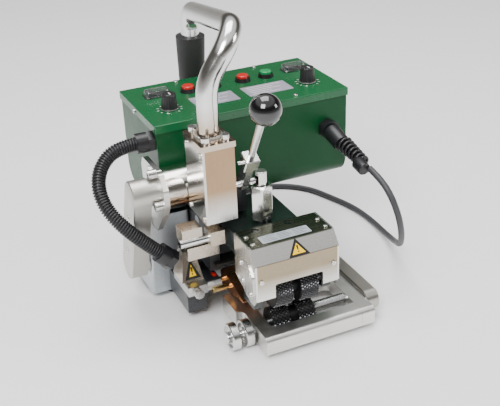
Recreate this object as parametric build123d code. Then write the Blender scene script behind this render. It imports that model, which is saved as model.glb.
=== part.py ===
from build123d import *

import math
import os

# Hot-wedge seam welder with powered seam rollers, in millimetres.
# Working frame: +X runs along the rollers to the right, +Y to the back, +Z up, and z = 0 is the floor.
# x = y = 0 is beside the rollers; BASE_CENTRE is the middle of the machine's footprint in that frame,
# and every solid is moved by it, so the finished origin is on the floor under the middle.

BASE_CENTRE = (-8.47, 141.6)

# ---- clearances -------------------------------------------------------------------------------
RUNNING_GAP = 0.05      # radial, shaft in its bore
SIDE_GAP = 0.6          # a turning piece beside a fixed one
PARTING_GAP = 0.3       # between two covers of different bodies
SHEET = 2.0             # stainless sheet of the covers

# ---- seam rollers -----------------------------------------------------------------------------
ROLLER_Y = 23.0
LOWER_ROLLER_Z = 20.0
LOWER_ROLLER_R = 16.0
UPPER_ROLLER_R = 22.0
NIP_GAP = 4.5           # open nip, closed by the lever
BAND_WIDTH = 21.0
BAND_SPACING = 9.0      # the test channel between the two tracks
BAND_LEFT = -18.0
SPACER_R = 10.5
SHAFT_R = 6.0
ROLLER_BEARING = 7.5    # depth of the lower roller's left bearing
UPPER_ROLLER_Z = LOWER_ROLLER_Z + LOWER_ROLLER_R + NIP_GAP + UPPER_ROLLER_R
BAND_RIGHT = BAND_LEFT + 2 * BAND_WIDTH + BAND_SPACING

# ---- lower arm --------------------------------------------------------------------------------
ARM_FRONT_Y = -15.0
ARM_BOTTOM_Z = 7.0
LOWER_ARM_TOP_Z = 26.5
LOWER_ARM_LEFT = -38.0
LOWER_ARM_STUB_LEFT = -46.0
STUB_FRONT = 46.0
STUB_CURVE_R = 7.5      # concave corner behind the guide wheels
WINDOW_LEFT = -23.0
WINDOW_RIGHT = 78.0
WINDOW_FRONT = 3.0
WINDOW_BACK = 66.0
LOWER_ARM_BACK = 84.0
END_BLOCK_WIDTH = 16.0
END_BLOCK_BACK = 46.0
SIDE_BAR_LEFT = 92.3
SIDE_BAR_WIDTH = 16.0
SIDE_BAR_TOP_Z = 31.0
SIDE_BAR_BACK = 215.0
FRONT_EDGE_R = 6.0

# ---- guide wheels -----------------------------------------------------------------------------
WHEEL_R = 15.0
WHEEL_WIDTH = 9.0
AXLE_Y = ROLLER_Y
WHEEL_INNER_LEFT = -49.5
WHEEL_OUTER_LEFT = -65.0
AXLE_R = 4.0
AXLE_GRIP = 7.0         # length of the axle held in the arm

# ---- upper arm and roller housing -------------------------------------------------------------
PIVOT_Y = 126.0
PIVOT_Z = 104.0
PIVOT_R = 6.0
UPPER_ARM_LEFT = -40.0
UPPER_ARM_RIGHT = 35.0
UPPER_ARM_TOP_Z = 119.0
UPPER_ARM_THICK = 25.0
UPPER_ARM_FRONT = 14.0
HOUSING_LEFT = -43.0
HOUSING_RIGHT = 53.0
HOUSING_FRONT = -3.5
HOUSING_BACK = 48.0
HOUSING_TOP_Z = 124.0
HOUSING_CHAMFER_Y = 9.0
HOUSING_CHAMFER_Z = 108.5
HOUSING_SKIRT_Z = 67.5
HOUSING_TIP_Z = 60.0
CUT_LEFT = -21.0
CUT_RIGHT = 34.0
CUT_TOP_Z = 83.0
HOUSING_SCREW_INSET = 4.5
CHEEK_THICK = 10.0
CHEEK_LOW_Z = 50.0

# ---- pressure nut, rod and lever --------------------------------------------------------------
NUT_X = -1.4
NUT_Y = 67.0
NUT_AF = 22.0
NUT_HEIGHT = 40.0
NUT_BOTTOM_Z = UPPER_ARM_TOP_Z + 3.5
NUT_BORE_R = 7.6
NUT_FOOT_R = 7.0
NUT_FOOT_WALL = 1.6
ROD_HEAD_R = 6.4
ROD_STEM_R = 3.0
ROD_TOP_Z = 178.0
SPRING_WIRE_R = 0.8
SPRING_MEAN_R = 5.6
SPRING_TURNS = 6
LEVER_X = -22.5
LEVER_PIVOT_Z = 168.0
LEVER_SHAFT_R = 3.5
LEVER_THICK = 8.0
LEVER_REACH = 121.0
LEVER_LEAN = 58.7       # degrees above level, leaning to the front
LEVER_BLOCK = 16.0
LEVER_BLOCK_REACH = 40.0
LEVER_ROD_R = 4.0
BALL_R = 15.8
ECCENTRIC_R = 1.5
ECCENTRIC_OFFSET = 1.2

# ---- motor and box back, which set where the block, box front and handle stand ---------------
MOTOR_Y = 118.0
MOTOR_Z = 156.0
MOTOR_R = 22.5
BOX_BACK = 263.5
MOTOR_GAP_FRONT = 1.5      # between the block and the motor tube
MOTOR_GAP_BACK = 1.0       # between the motor tube and the box
HANDLE_BEHIND = 16.5       # rear bend of the handle behind the box
HANDLE_LEAN = 3.0          # how much further back the rear leg ends

# ---- square block and handle ------------------------------------------------------------------
BLOCK_LEFT = -72.5
BLOCK_RIGHT = -38.0
BLOCK_FRONT = 46.0
BLOCK_BACK = MOTOR_Y - MOTOR_R - MOTOR_GAP_FRONT
BLOCK_BOTTOM_Z = 141.0
BLOCK_TOP_Z = 222.0
BLOCK_WALL = 3.0
SIDE_COVER_THICK = 2.5
COVER_SCREW_INSET = 5.0
COVER_POST = (8.0, 4.5)     # length and half width of the posts the cover is screwed to
LEVER_BOSS = (14.0, 7.0)    # length and radius of the lever shaft's bearing in the block
FLANGE_THICK = 6.0
FLANGE_OVERHANG = 1.5
FLANGE_SCREW_INSET = 7.0
TUBE_R = 11.0
HANDLE_WELD_R = 14.0
HANDLE_POINTS = [
    (-55.2, 70.0, 228.0),
    (-54.6, 70.0, 282.0),
    (-20.0, 68.0, 334.0),
    (10.5, BOX_BACK + HANDLE_BEHIND, 296.0),
    (8.0, BOX_BACK + HANDLE_BEHIND + HANDLE_LEAN, 165.0),
]
HANDLE_BENDS = [55.0, 28.0, 26.0]
GRIP_TOP_R = 17.5
GRIP_LOW_R = 14.0
GRIP_LENGTH = 108.0
GRIP_TOP_Z = 266.0

# ---- motor, chain drive -----------------------------------------------------------------------
MOTOR_WALL = 2.0
MOTOR_FLANGE_LEFT = -100.0
MOTOR_FLANGE_THICK = 6.0
CROSS_SHAFT_Y = 160.0
CROSS_SHAFT_Z = 49.5
CHAIN_CASE_LEFT = -130.0
CHAIN_CASE_WIDTH = 19.5
CHAIN_CASE_R = 16.6
CHAIN_CASE_WALL = 2.0
COVER_THICK = 2.5
COLLAR_R = 15.0
CASE_SCREW_SHARES = (0.28, 0.76)    # along the line between the two shafts
SPROCKET_R = 10.5
SPROCKET_TEETH = 11
SPROCKET_WIDTH = 5.0
CHAIN_THICK = 2.4
MOTOR_SHAFT_R = 5.0

# ---- main frame -------------------------------------------------------------------------------
COLUMN_LEFT = -54.0
COLUMN_INNER = -41.5
COLUMN_FRONT = BLOCK_BACK + 0.5
COLUMN_BACK = 138.0
COLUMN_TOP_Z = 182.0
WEDGE_ROOM_Z = 55.0     # the wedge carriage slides out under this
CHEEK_FOOT_FRONT = 141.0
SHELF_RIGHT = -9.0
SHELF_FRONT = 89.0
SHELF_BOTTOM_Z = 123.0
SHELF_TOP_Z = 152.0
BASE_BACK = 215.0
BASE_BOTTOM_Z = 8.0
BEAM_FRONT = 168.0
BEAM_TOP_Z = 46.0
GEAR_CASE_LEFT = -106.0
GEAR_CASE_FRONT = 150.0
FOOT_R = 9.0

# ---- control box ------------------------------------------------------------------------------
BOX_LEFT = -87.0
BOX_RIGHT = 144.5
BOX_FRONT = MOTOR_Y + MOTOR_R + MOTOR_GAP_BACK
BOX_BOTTOM_Z = 109.0
GEAR_CASE_TOP = BOX_BOTTOM_Z - 2    # a small gap under the box
BOARD_Z = BOX_BOTTOM_Z + 14
BOARD_POSTS = [(x, y) for x in (BOX_LEFT + 40, BOX_RIGHT - 40) for y in (180.0, 225.0)]
BOX_TOP_Z = 218.5
BOX_BEND_R = 23.0
BOX_WALL = 1.5
LID_SKIRT = 9.0
LID_GAP = 0.2
KNOB_PLACES = [(-56.5, 181.0), (114.5, 180.0)]
ROCKER_PLACES = [(-55.0, 228.0), (121.0, 228.0)]
RED_PLACES = [(-18.6, 222.0), (50.3, 222.0)]
GREEN_PLACES = [(12.6, 222.0), (80.4, 222.0)]
LID_SCREW_PLACES = [(-20.5, 258.5), (81.7, 258.5), (-20.5, 147.0), (81.7, 147.0)]
KNOB_R = 9.0
KNOB_SKIRT_R = 10.5
KNOB_HEIGHT = 17.0
SPINDLE_R = 3.0
BEZEL_R = 9.5
BEZEL_HEIGHT = 4.5
BUTTON_R = 7.0
BUTTON_TRAVEL = 3.0
ROCKER_SIZE = (26.0, 12.0)
ROCKER_TILT = 9.0
BOARD_THICK = 1.6

# ---- glands, conduit and strain relief --------------------------------------------------------
CONDUIT_R = 7.9
GLAND_R = 12.0
GLAND_LENGTH = 20.0
UPPER_GLAND = (BOX_LEFT, 156.0, 196.5)
CONDUIT_POINTS = [
    (-107.0, 156.0, 196.5),
    (-127.0, 156.0, 196.5),
    (-147.0, 150.0, 185.0),
    (-157.5, 137.0, 169.0),
    (-156.5, 124.0, 150.0),
    (-147.0, 112.0, 133.0),
    (-130.0, 104.0, 113.0),
    (-109.0, 101.0, 92.0),
]
MAINS_GLAND = (118.5, BOX_FRONT, 174.0)
RELIEF_END = (125.0, 56.0, 155.0)
RELIEF_R = 10.5
RELIEF_RIBS = 4
CORD_R = 3.6

# ---- wedge carriage ---------------------------------------------------------------------------
WEDGE_BASE_LEFT = -86.0
WEDGE_BASE_RIGHT = -63.0
WEDGE_BASE_FRONT = 81.0
WEDGE_BASE_BACK = 127.0
WEDGE_BASE_BOTTOM = 38.0
WEDGE_TRAVEL = 12.0     # the carriage slides back this far
RAIL_X = (-84.0, -62.0)
RAIL_FRONT = 92.0
RAIL_BACK = 149.7
RAIL_BOTTOM_Z = 10.0
RAIL_TOP_Z = WEDGE_BASE_BOTTOM - 0.3
KEY_X = -75.0
KEY_HALF = 2.5
KEY_DEPTH = 4.0
WEDGE_BASE_TOP = 49.0
TABLE_RIGHT = -46.5
TABLE_BACK = 128.0
HEATER_LEFT = -37.5
HEATER_RIGHT = 36.0
HEATER_TIP_Y = 44.0
HEATER_BACK_Y = 106.0
HEATER_HALF = 9.0
NIP_Z = LOWER_ROLLER_Z + LOWER_ROLLER_R + NIP_GAP / 2
BRASS_R = 3.0
BRASS_Y = (80.0, 97.0)
HOOK_ROD_X = (-98.0, -50.0)
HOOK_ROD_Y = 62.0
HOOK_ROD_Z = 118.0
HOOK_ROD_R = 5.0
ROD_BLOCK_X = (-95.0, -73.0)
ROD_BLOCK_TOP_Z = 133.0
BRACKET_FRONT = 73.0
BRACKET_THICK = 5.0
THUMB_X = -76.0
THUMB_R = 5.5
FILM_GUIDE_Z = 62.0

# ---- small fasteners --------------------------------------------------------------------------
SMALL_HEAD_R = 2.6
SMALL_HEAD_H = 1.8
SMALL_SHANK_R = 1.5
SMALL_SHANK_L = 1.5
M6_HEAD_R = 5.0
M6_HEAD_H = 6.0
M6_SOCKET_AF = 5.0

# ---- mains cord, in the finished frame ---------------------------------------------------------
CORD_POINTS = [
    (133.47, -85.6, 155.0),
    (135.353, -106.89, 149.786),
    (138.9, -122.7, 135.0),
    (144.4, -128.2, 114.4),
    (152.3, -123.4, 92.3),
    (168.3, -101.4, 63.1),
    (185.1, -74.2, 39.1),
    (201.9, -40.6, 20.6),
    (214.8, 1.3, 7.7),
    (221.5, 44.9, 4.0),
    (219.5, 88.9, 4.0),
    (206.5, 130.9, 4.0),
    (194.0, 166.0, 4.0),
    (172.0, 190.0, 4.0),
    (150.0, 201.5, 4.0),
    (131.0, 205.4, 4.0),
]
COIL_CENTRE = (112.0, 254.0)
COIL_OUTER_R = 54.7     # four turns side by side, two layers
COIL_INNER_R = 25.0
COIL_HEIGHT = 15.2
CORD_TAIL_X = (81.0, 107.0)     # straight stretch from the coil's outer turn to the plug
CORD_TAIL_Y = 203.0
CORD_TAIL_Z = 11.3
PLUG_TAIL_LENGTH = 14.0
PLUG_PIN = (19.0, 2.4)          # length and radius
PLUG_PIN_SPACING = 9.5
PLUG_SIZE = (24.0, 30.0, 22.0)


# ---- shape helpers ----------------------------------------------------------------------------
def cuboid(x, y, z):
    """Box between two corners, given as (low, high) pairs."""
    box = Box(x[1] - x[0], y[1] - y[0], z[1] - z[0])
    return Pos((x[0] + x[1]) / 2, (y[0] + y[1]) / 2, (z[0] + z[1]) / 2) * box


def rod_x(x, y, z, radius):
    """Round bar along X from x[0] to x[1]."""
    bar = Rot(0, 90, 0) * Cylinder(radius, x[1] - x[0])
    return Pos((x[0] + x[1]) / 2, y, z) * bar


def rod_y(x, y, z, radius):
    """Round bar along Y from y[0] to y[1]."""
    bar = Rot(90, 0, 0) * Cylinder(radius, y[1] - y[0])
    return Pos(x, (y[0] + y[1]) / 2, z) * bar


def rod_z(x, y, z, radius):
    """Round bar along Z from z[0] to z[1]."""
    return Pos(x, y, (z[0] + z[1]) / 2) * Cylinder(radius, z[1] - z[0])


def rod_between(start, end, radius):
    """Round bar from one point to another."""
    line = Line(start, end)
    return sweep(Plane(origin=start, z_dir=line % 0) * Circle(radius), path=line)


def plate_x(points, x):
    """Flat plate from x[0] to x[1] whose outline is a list of (y, z) points."""
    outline = Polyline(*[(y, z) for y, z in points], close=True)
    face = make_face(Plane.YZ * outline)
    return Pos(x[0], 0, 0) * extrude(face, amount=x[1] - x[0], dir=(1, 0, 0))


def plate_z(points, z):
    """Flat plate from z[0] to z[1] whose outline is a list of (x, y) points."""
    face = make_face(Polyline(*points, close=True))
    return Pos(0, 0, z[0]) * extrude(face, amount=z[1] - z[0], dir=(0, 0, 1))


def stadium_x(x, radius):
    """Round-ended plate round the motor axis and the cross shaft axis."""
    ends = [(MOTOR_Y, MOTOR_Z), (CROSS_SHAFT_Y, CROSS_SHAFT_Z)]
    dy = ends[1][0] - ends[0][0]
    dz = ends[1][1] - ends[0][1]
    length = math.hypot(dy, dz)
    ny = -dz / length * radius
    nz = dy / length * radius
    sides = [
        (ends[0][0] + ny, ends[0][1] + nz),
        (ends[1][0] + ny, ends[1][1] + nz),
        (ends[1][0] - ny, ends[1][1] - nz),
        (ends[0][0] - ny, ends[0][1] - nz),
    ]
    body = plate_x(sides, x)
    for y, z in ends:
        body += rod_x(x, y, z, radius)
    return body


def edges_along(shape, axis, test):
    """Edges parallel to an axis whose centre passes a test."""
    return [e for e in shape.edges().filter_by(axis) if test(e.center())]


def small_screw(place, direction):
    """Crosshead screw: domed head on the surface and a short shank below it."""
    plane = Plane(origin=place, z_dir=direction)
    head = Pos(0, 0, SMALL_HEAD_H / 2) * Cylinder(SMALL_HEAD_R, SMALL_HEAD_H)
    rim = head.edges().group_by(Axis.Z)[-1]
    head = fillet(rim, SMALL_HEAD_H * 0.45)
    slot = Pos(0, 0, SMALL_HEAD_H) * Box(SMALL_HEAD_R * 1.1, 0.6, 1.2)
    head = head - slot - Rot(0, 0, 90) * slot
    shank = Pos(0, 0, -SMALL_SHANK_L / 2) * Cylinder(SMALL_SHANK_R, SMALL_SHANK_L)
    return plane * (head + shank)


def small_hole(place, direction):
    """Hole that the shank of a small screw fits."""
    plane = Plane(origin=place, z_dir=direction)
    return plane * Pos(0, 0, -SMALL_SHANK_L / 2) * Cylinder(SMALL_SHANK_R, SMALL_SHANK_L + 0.02)


def socket_screw(place, direction, shank, head_height=M6_HEAD_H):
    """Socket-head cap screw with its hexagonal socket."""
    plane = Plane(origin=place, z_dir=direction)
    head = Pos(0, 0, head_height / 2) * Cylinder(M6_HEAD_R, head_height)
    socket = RegularPolygon(M6_SOCKET_AF / 2, 6, major_radius=False)
    head -= Pos(0, 0, head_height - 3) * extrude(socket, amount=4)
    stem = Pos(0, 0, -shank / 2) * Cylinder(3, shank)
    return plane * (head + stem)


def bend_radius(before, corner, after, share):
    """Largest tangent arc at a corner: a share of the shorter run over the tangent of half the turn."""
    first = Vector(*corner) - Vector(*before)
    second = Vector(*after) - Vector(*corner)
    turn = math.radians(first.get_angle(second))
    return share * min(first.length, second.length) / math.tan(turn / 2)


def tube_along(points, radii, radius):
    """Solid tube along straight runs joined by tangent arcs."""
    path = FilletPolyline(*points, radius=radii)
    return sweep(Plane(origin=points[0], z_dir=path % 0) * Circle(radius), path=path)


# ---- frame ------------------------------------------------------------------------------------
def make_lower_arm_frame():
    """Flat cast frame round the lower roller, cut back in a curve at the left for the guide wheels."""
    right = SIDE_BAR_LEFT - PARTING_GAP
    top = LOWER_ARM_TOP_Z
    body = cuboid((LOWER_ARM_LEFT, right), (ARM_FRONT_Y, LOWER_ARM_BACK), (ARM_BOTTOM_Z, top))
    stub_y = (STUB_FRONT, LOWER_ARM_BACK)
    body += cuboid((LOWER_ARM_STUB_LEFT, LOWER_ARM_LEFT), stub_y, (ARM_BOTTOM_Z, top))
    near_wheels = edges_along(body, Axis.Z, lambda c: abs(c.X - LOWER_ARM_LEFT) < 0.1)
    body = fillet([e for e in near_wheels if abs(e.center().Y - STUB_FRONT) < 0.1], STUB_CURVE_R)
    front = edges_along(body, Axis.X, lambda c: c.Y < ARM_FRONT_Y + 1 and c.Z > top - 1)
    body = fillet(front, FRONT_EDGE_R)
    window = cuboid((WINDOW_LEFT, WINDOW_RIGHT), (WINDOW_FRONT, WINDOW_BACK), (0, top + 5))
    window = fillet(window.edges().filter_by(Axis.Z), 7)
    body -= window
    block_left = right - END_BLOCK_WIDTH
    body -= cuboid((block_left, right + 1), (ARM_FRONT_Y - 1, END_BLOCK_BACK), (0, top + 5))
    bearing_x = (WINDOW_LEFT - ROLLER_BEARING, WINDOW_LEFT + 1)
    body -= rod_x(bearing_x, ROLLER_Y, LOWER_ROLLER_Z, SHAFT_R + RUNNING_GAP)
    axle_x = (LOWER_ARM_LEFT - 1, LOWER_ARM_LEFT + AXLE_GRIP)
    return body - rod_x(axle_x, AXLE_Y, WHEEL_R, AXLE_R)


def make_end_block():
    """Bearing block at the right front corner of the lower arm."""
    right = SIDE_BAR_LEFT - PARTING_GAP
    left = right - END_BLOCK_WIDTH
    back = END_BLOCK_BACK - 0.2
    body = cuboid((left + 0.2, right), (ARM_FRONT_Y, back), (ARM_BOTTOM_Z, LOWER_ARM_TOP_Z))
    front = edges_along(body, Axis.X, lambda c: c.Y < ARM_FRONT_Y + 1 and c.Z > LOWER_ARM_TOP_Z - 1)
    body = fillet(front, FRONT_EDGE_R)
    body -= rod_x((left - 1, right - 4), ROLLER_Y, LOWER_ROLLER_Z, SHAFT_R + RUNNING_GAP)
    return body


def make_side_bar():
    """Thick bar at the right that carries the lower arm back to the rear beam."""
    right = SIDE_BAR_LEFT + SIDE_BAR_WIDTH
    body = cuboid((SIDE_BAR_LEFT, right), (2, SIDE_BAR_BACK), (ARM_BOTTOM_Z, SIDE_BAR_TOP_Z))
    ends = edges_along(body, Axis.X, lambda c: c.Y < 3)
    body = fillet(ends, 11)
    return chamfer(edges_along(body, Axis.Y, lambda c: c.Z > SIDE_BAR_TOP_Z - 1), 1)


def make_main_frame():
    """Dark casting: column behind the block, shelf beside it, low cheek and the rear beam."""
    column = cuboid((COLUMN_LEFT, COLUMN_INNER), (COLUMN_FRONT, COLUMN_BACK), (WEDGE_ROOM_Z, COLUMN_TOP_Z))
    head = cuboid((COLUMN_LEFT, BLOCK_RIGHT), (COLUMN_FRONT, COLUMN_BACK), (SHELF_BOTTOM_Z, COLUMN_TOP_Z))
    shelf_z = (SHELF_BOTTOM_Z, SHELF_TOP_Z)
    shelf = cuboid((BLOCK_RIGHT + 0.5, SHELF_RIGHT), (SHELF_FRONT, COLUMN_BACK), shelf_z)
    shelf += cuboid((BLOCK_RIGHT - 1, SHELF_RIGHT), (COLUMN_FRONT, COLUMN_BACK), shelf_z)
    cheek_top = BOX_BOTTOM_Z - 0.5
    cheek = cuboid((COLUMN_LEFT, COLUMN_INNER), (COLUMN_BACK, BASE_BACK), (WEDGE_ROOM_Z, cheek_top))
    cheek += cuboid((COLUMN_LEFT, COLUMN_INNER), (CHEEK_FOOT_FRONT, BASE_BACK), (BASE_BOTTOM_Z, cheek_top))
    beam_right = SIDE_BAR_LEFT - PARTING_GAP
    beam = cuboid((COLUMN_LEFT, beam_right), (BEAM_FRONT, BASE_BACK), (BASE_BOTTOM_Z, BEAM_TOP_Z))
    post = cuboid((COLUMN_INNER, 20), (BEAM_FRONT, BASE_BACK), (BEAM_TOP_Z, cheek_top))
    rail = cuboid(RAIL_X, (RAIL_FRONT, RAIL_BACK), (RAIL_BOTTOM_Z, RAIL_TOP_Z))
    link_x = (RAIL_X[1] - 1, COLUMN_LEFT + 1)
    rail += cuboid(link_x, (CHEEK_FOOT_FRONT, RAIL_BACK), (RAIL_BOTTOM_Z, RAIL_TOP_Z))
    groove_z = (RAIL_TOP_Z - KEY_DEPTH, RAIL_TOP_Z + 1)
    rail -= cuboid(around(KEY_X, KEY_HALF + RUNNING_GAP), (RAIL_FRONT - 1, RAIL_BACK + 1), groove_z)
    body = column + head + shelf + cheek + beam + post + rail
    body -= rod_x((COLUMN_LEFT - 1, COLUMN_INNER + 1), PIVOT_Y, PIVOT_Z, PIVOT_R)
    seat = rod_x((COLUMN_LEFT - 1, COLUMN_LEFT + 3), MOTOR_Y, MOTOR_Z, MOTOR_R)
    body -= seat
    shaft_hole = SHAFT_R + 1
    body -= rod_x((COLUMN_LEFT - 1, beam_right + 1), CROSS_SHAFT_Y, CROSS_SHAFT_Z, shaft_hole)
    return body


def make_gear_case():
    """Light alloy case of the cross shaft, at the left of the column."""
    right = COLUMN_LEFT - 0.2
    top = BOX_BOTTOM_Z - 2
    body = cuboid((GEAR_CASE_LEFT, right), (GEAR_CASE_FRONT, BASE_BACK), (BASE_BOTTOM_Z, top))
    body = fillet(edges_along(body, Axis.Z, lambda c: c.Y < GEAR_CASE_FRONT + 1), 4)
    body -= rod_x((GEAR_CASE_LEFT - 1, right + 1), CROSS_SHAFT_Y, CROSS_SHAFT_Z, SHAFT_R + RUNNING_GAP)
    return body


def make_feet():
    """Three rubber feet under the gear case, the beam and the side bar."""
    places = [
        (GEAR_CASE_LEFT + 14, BASE_BACK - 14),
        (GEAR_CASE_LEFT + 30, GEAR_CASE_FRONT + 14),
        (SIDE_BAR_LEFT - 14, BASE_BACK - 14),
    ]
    feet = [rod_z(x, y, (0, BASE_BOTTOM_Z), FOOT_R) for x, y in places]
    return Compound(children=feet)


# ---- head: block, handle ----------------------------------------------------------------------
def make_block_shell():
    """Square stainless box with closed top and bottom and an open left side."""
    x = (BLOCK_LEFT + SIDE_COVER_THICK, BLOCK_RIGHT)
    body = cuboid(x, (BLOCK_FRONT, BLOCK_BACK), (BLOCK_BOTTOM_Z, BLOCK_TOP_Z))
    hollow = cuboid(
        (x[0] - 1, x[1] - BLOCK_WALL),
        (BLOCK_FRONT + BLOCK_WALL, BLOCK_BACK - BLOCK_WALL),
        (BLOCK_BOTTOM_Z + BLOCK_WALL, BLOCK_TOP_Z - BLOCK_WALL),
    )
    body -= hollow
    for _, y, z in cover_screw_places():
        body += cuboid((x[0], x[0] + COVER_POST[0]), around(y, COVER_POST[1]), around(z, COVER_POST[1]))
    body += rod_x((BLOCK_RIGHT - LEVER_BOSS[0], BLOCK_RIGHT - 1), NUT_Y, LEVER_PIVOT_Z, LEVER_BOSS[1])
    bore = (BLOCK_RIGHT - LEVER_BOSS[0] - 1, BLOCK_RIGHT + 1)
    return body - rod_x(bore, NUT_Y, LEVER_PIVOT_Z, LEVER_SHAFT_R + RUNNING_GAP)


def around(centre, half):
    """Pair that reaches half a width either side of a centre."""
    return (centre - half, centre + half)


def cover_screw_places():
    """Corners of the block's side cover, where its screws go."""
    inset = COVER_SCREW_INSET
    ys = (BLOCK_FRONT + inset, BLOCK_BACK - inset)
    zs = (BLOCK_BOTTOM_Z + inset, BLOCK_TOP_Z - inset)
    return [(BLOCK_LEFT, y, z) for y in ys for z in zs]


def make_block_side_cover():
    """Polished plate on the block's left side."""
    x = (BLOCK_LEFT, BLOCK_LEFT + SIDE_COVER_THICK)
    body = cuboid(x, (BLOCK_FRONT, BLOCK_BACK), (BLOCK_BOTTOM_Z, BLOCK_TOP_Z))
    for place in cover_screw_places():
        body -= small_hole(place, (-1, 0, 0))
    return body


def flange_screw_places():
    """Centres of the four cap screws on the handle flange."""
    xs = (BLOCK_LEFT + FLANGE_SCREW_INSET, BLOCK_RIGHT - FLANGE_SCREW_INSET)
    ys = (BLOCK_FRONT + FLANGE_SCREW_INSET, BLOCK_BACK - FLANGE_SCREW_INSET)
    return [(x, y, BLOCK_TOP_Z + FLANGE_THICK) for x in xs for y in ys]


def make_handle():
    """Bent tube welded to its square flange."""
    x = (BLOCK_LEFT - FLANGE_OVERHANG, BLOCK_RIGHT + FLANGE_OVERHANG)
    y = (BLOCK_FRONT - FLANGE_OVERHANG, BLOCK_BACK + FLANGE_OVERHANG - 1.2)
    flange = cuboid(x, y, (BLOCK_TOP_Z, BLOCK_TOP_Z + FLANGE_THICK))
    flange = chamfer(flange.edges().filter_by(Axis.Z), 1)
    for place in flange_screw_places():
        flange -= rod_z(place[0], place[1], (BLOCK_TOP_Z - 1, place[2] + 1), 3)
    tube = tube_along(HANDLE_POINTS, HANDLE_BENDS, TUBE_R)
    foot = HANDLE_POINTS[0]
    base = BLOCK_TOP_Z + FLANGE_THICK
    weld = Pos(foot[0], foot[1], base + 2) * Cone(HANDLE_WELD_R, TUBE_R + 1, 4)
    return flange + weld + tube


def make_grip():
    """Flared rubber grip on the rear leg of the handle."""
    low = HANDLE_POINTS[-1]
    high = HANDLE_POINTS[-2]
    axis = Vector(*high) - Vector(*low)
    start = Vector(*low) - axis.normalized() * 8
    plane = Plane(origin=start, z_dir=axis)
    body = plane * Pos(0, 0, GRIP_LENGTH / 2) * Cone(GRIP_LOW_R, GRIP_TOP_R, GRIP_LENGTH)
    return body - plane * Pos(0, 0, 8 + GRIP_LENGTH / 2) * Cylinder(TUBE_R, GRIP_LENGTH)


# ---- motor and chain --------------------------------------------------------------------------
def make_motor_tube():
    """Polished motor housing between its flange and the column."""
    x = (MOTOR_FLANGE_LEFT + MOTOR_FLANGE_THICK, COLUMN_LEFT + 3)
    body = rod_x(x, MOTOR_Y, MOTOR_Z, MOTOR_R)
    body -= rod_x((x[0] + 3, x[1] - 4), MOTOR_Y, MOTOR_Z, MOTOR_R - MOTOR_WALL)
    return body - shaft_hole((x[0] - 1, x[1] - 6))


def shaft_hole(x):
    """Running bore on the motor axis."""
    return rod_x(x, MOTOR_Y, MOTOR_Z, MOTOR_SHAFT_R + RUNNING_GAP)


def motor_flange_screws():
    """Places of the two cap screws on the motor flange."""
    return [(MOTOR_FLANGE_LEFT, MOTOR_Y - 3, MOTOR_Z + 21.5), (MOTOR_FLANGE_LEFT, MOTOR_Y - 19, MOTOR_Z - 9)]


def make_motor_flange():
    """Plate that clamps the motor, with an ear towards the box and a foot towards the gear case."""
    x = (MOTOR_FLANGE_LEFT, MOTOR_FLANGE_LEFT + MOTOR_FLANGE_THICK)
    outline = [
        (MOTOR_Y - 13, MOTOR_Z + 24),
        (MOTOR_Y + 40, MOTOR_Z + 24),
        (MOTOR_Y + 46, MOTOR_Z + 14),
        (MOTOR_Y + 44, MOTOR_Z - 20),
        (MOTOR_Y + 42, GEAR_CASE_TOP + 0.4),
        (GEAR_CASE_FRONT - 0.4, GEAR_CASE_TOP + 0.4),
        (GEAR_CASE_FRONT - 6, GEAR_CASE_TOP - 5),
        (MOTOR_Y + 10, GEAR_CASE_TOP - 5),
        (MOTOR_Y - 18, MOTOR_Z - 22),
        (MOTOR_Y - 25, MOTOR_Z - 10),
        (MOTOR_Y - 25, MOTOR_Z + 8),
    ]
    body = plate_x(outline, x)
    body = fillet(body.edges().filter_by(Axis.X), 4)
    body += rod_x((x[0] - 2, x[0] + 0.5), MOTOR_Y + 17, MOTOR_Z + 17, 5)
    for place in motor_flange_screws():
        body -= rod_x((x[0] - 1, x[1] + 1), place[1], place[2], 3)
    return body - shaft_hole((x[0] - 3, x[1] + 1))


def make_chain_case():
    """Round-ended tray round the chain, with the collar that ties it to the motor flange."""
    x = (CHAIN_CASE_LEFT + COVER_THICK, CHAIN_CASE_LEFT + CHAIN_CASE_WIDTH)
    body = stadium_x(x, CHAIN_CASE_R)
    body -= stadium_x((x[0] - 1, x[1] - CHAIN_CASE_WALL), CHAIN_CASE_R - CHAIN_CASE_WALL)
    body += rod_x((x[1], MOTOR_FLANGE_LEFT), MOTOR_Y, MOTOR_Z, COLLAR_R)
    body += rod_x((x[1], GEAR_CASE_LEFT), CROSS_SHAFT_Y, CROSS_SHAFT_Z, COLLAR_R - 3)
    body -= shaft_hole((x[0], MOTOR_FLANGE_LEFT + 1))
    body -= rod_x((x[0], GEAR_CASE_LEFT + 1), CROSS_SHAFT_Y, CROSS_SHAFT_Z, SHAFT_R + RUNNING_GAP)
    for share in CASE_SCREW_SHARES:
        y, z = chain_line(share)
        body += rod_x((x[0], x[1]), y, z, 3)
    return body


def chain_line(share):
    """Point on the line from the motor axis to the cross shaft axis."""
    y = MOTOR_Y + share * (CROSS_SHAFT_Y - MOTOR_Y)
    z = MOTOR_Z + share * (CROSS_SHAFT_Z - MOTOR_Z)
    return (y, z)


def case_screw_places():
    """Places of the chain case cover's screws."""
    return [(CHAIN_CASE_LEFT, *chain_line(share)) for share in CASE_SCREW_SHARES]


def make_chain_case_cover():
    """Flat cover of the chain case."""
    body = stadium_x((CHAIN_CASE_LEFT, CHAIN_CASE_LEFT + COVER_THICK), CHAIN_CASE_R)
    rim = edges_at_x(body, CHAIN_CASE_LEFT)
    body = chamfer(rim, 1)
    for place in case_screw_places():
        body -= small_hole(place, (-1, 0, 0))
    return body


def edges_at_x(shape, x):
    """Edges that lie in one plane across X."""
    boxes = [(e, e.bounding_box()) for e in shape.edges()]
    return [e for e, box in boxes if abs(box.min.X - x) < 0.01 and box.size.X < 0.01]


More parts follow.
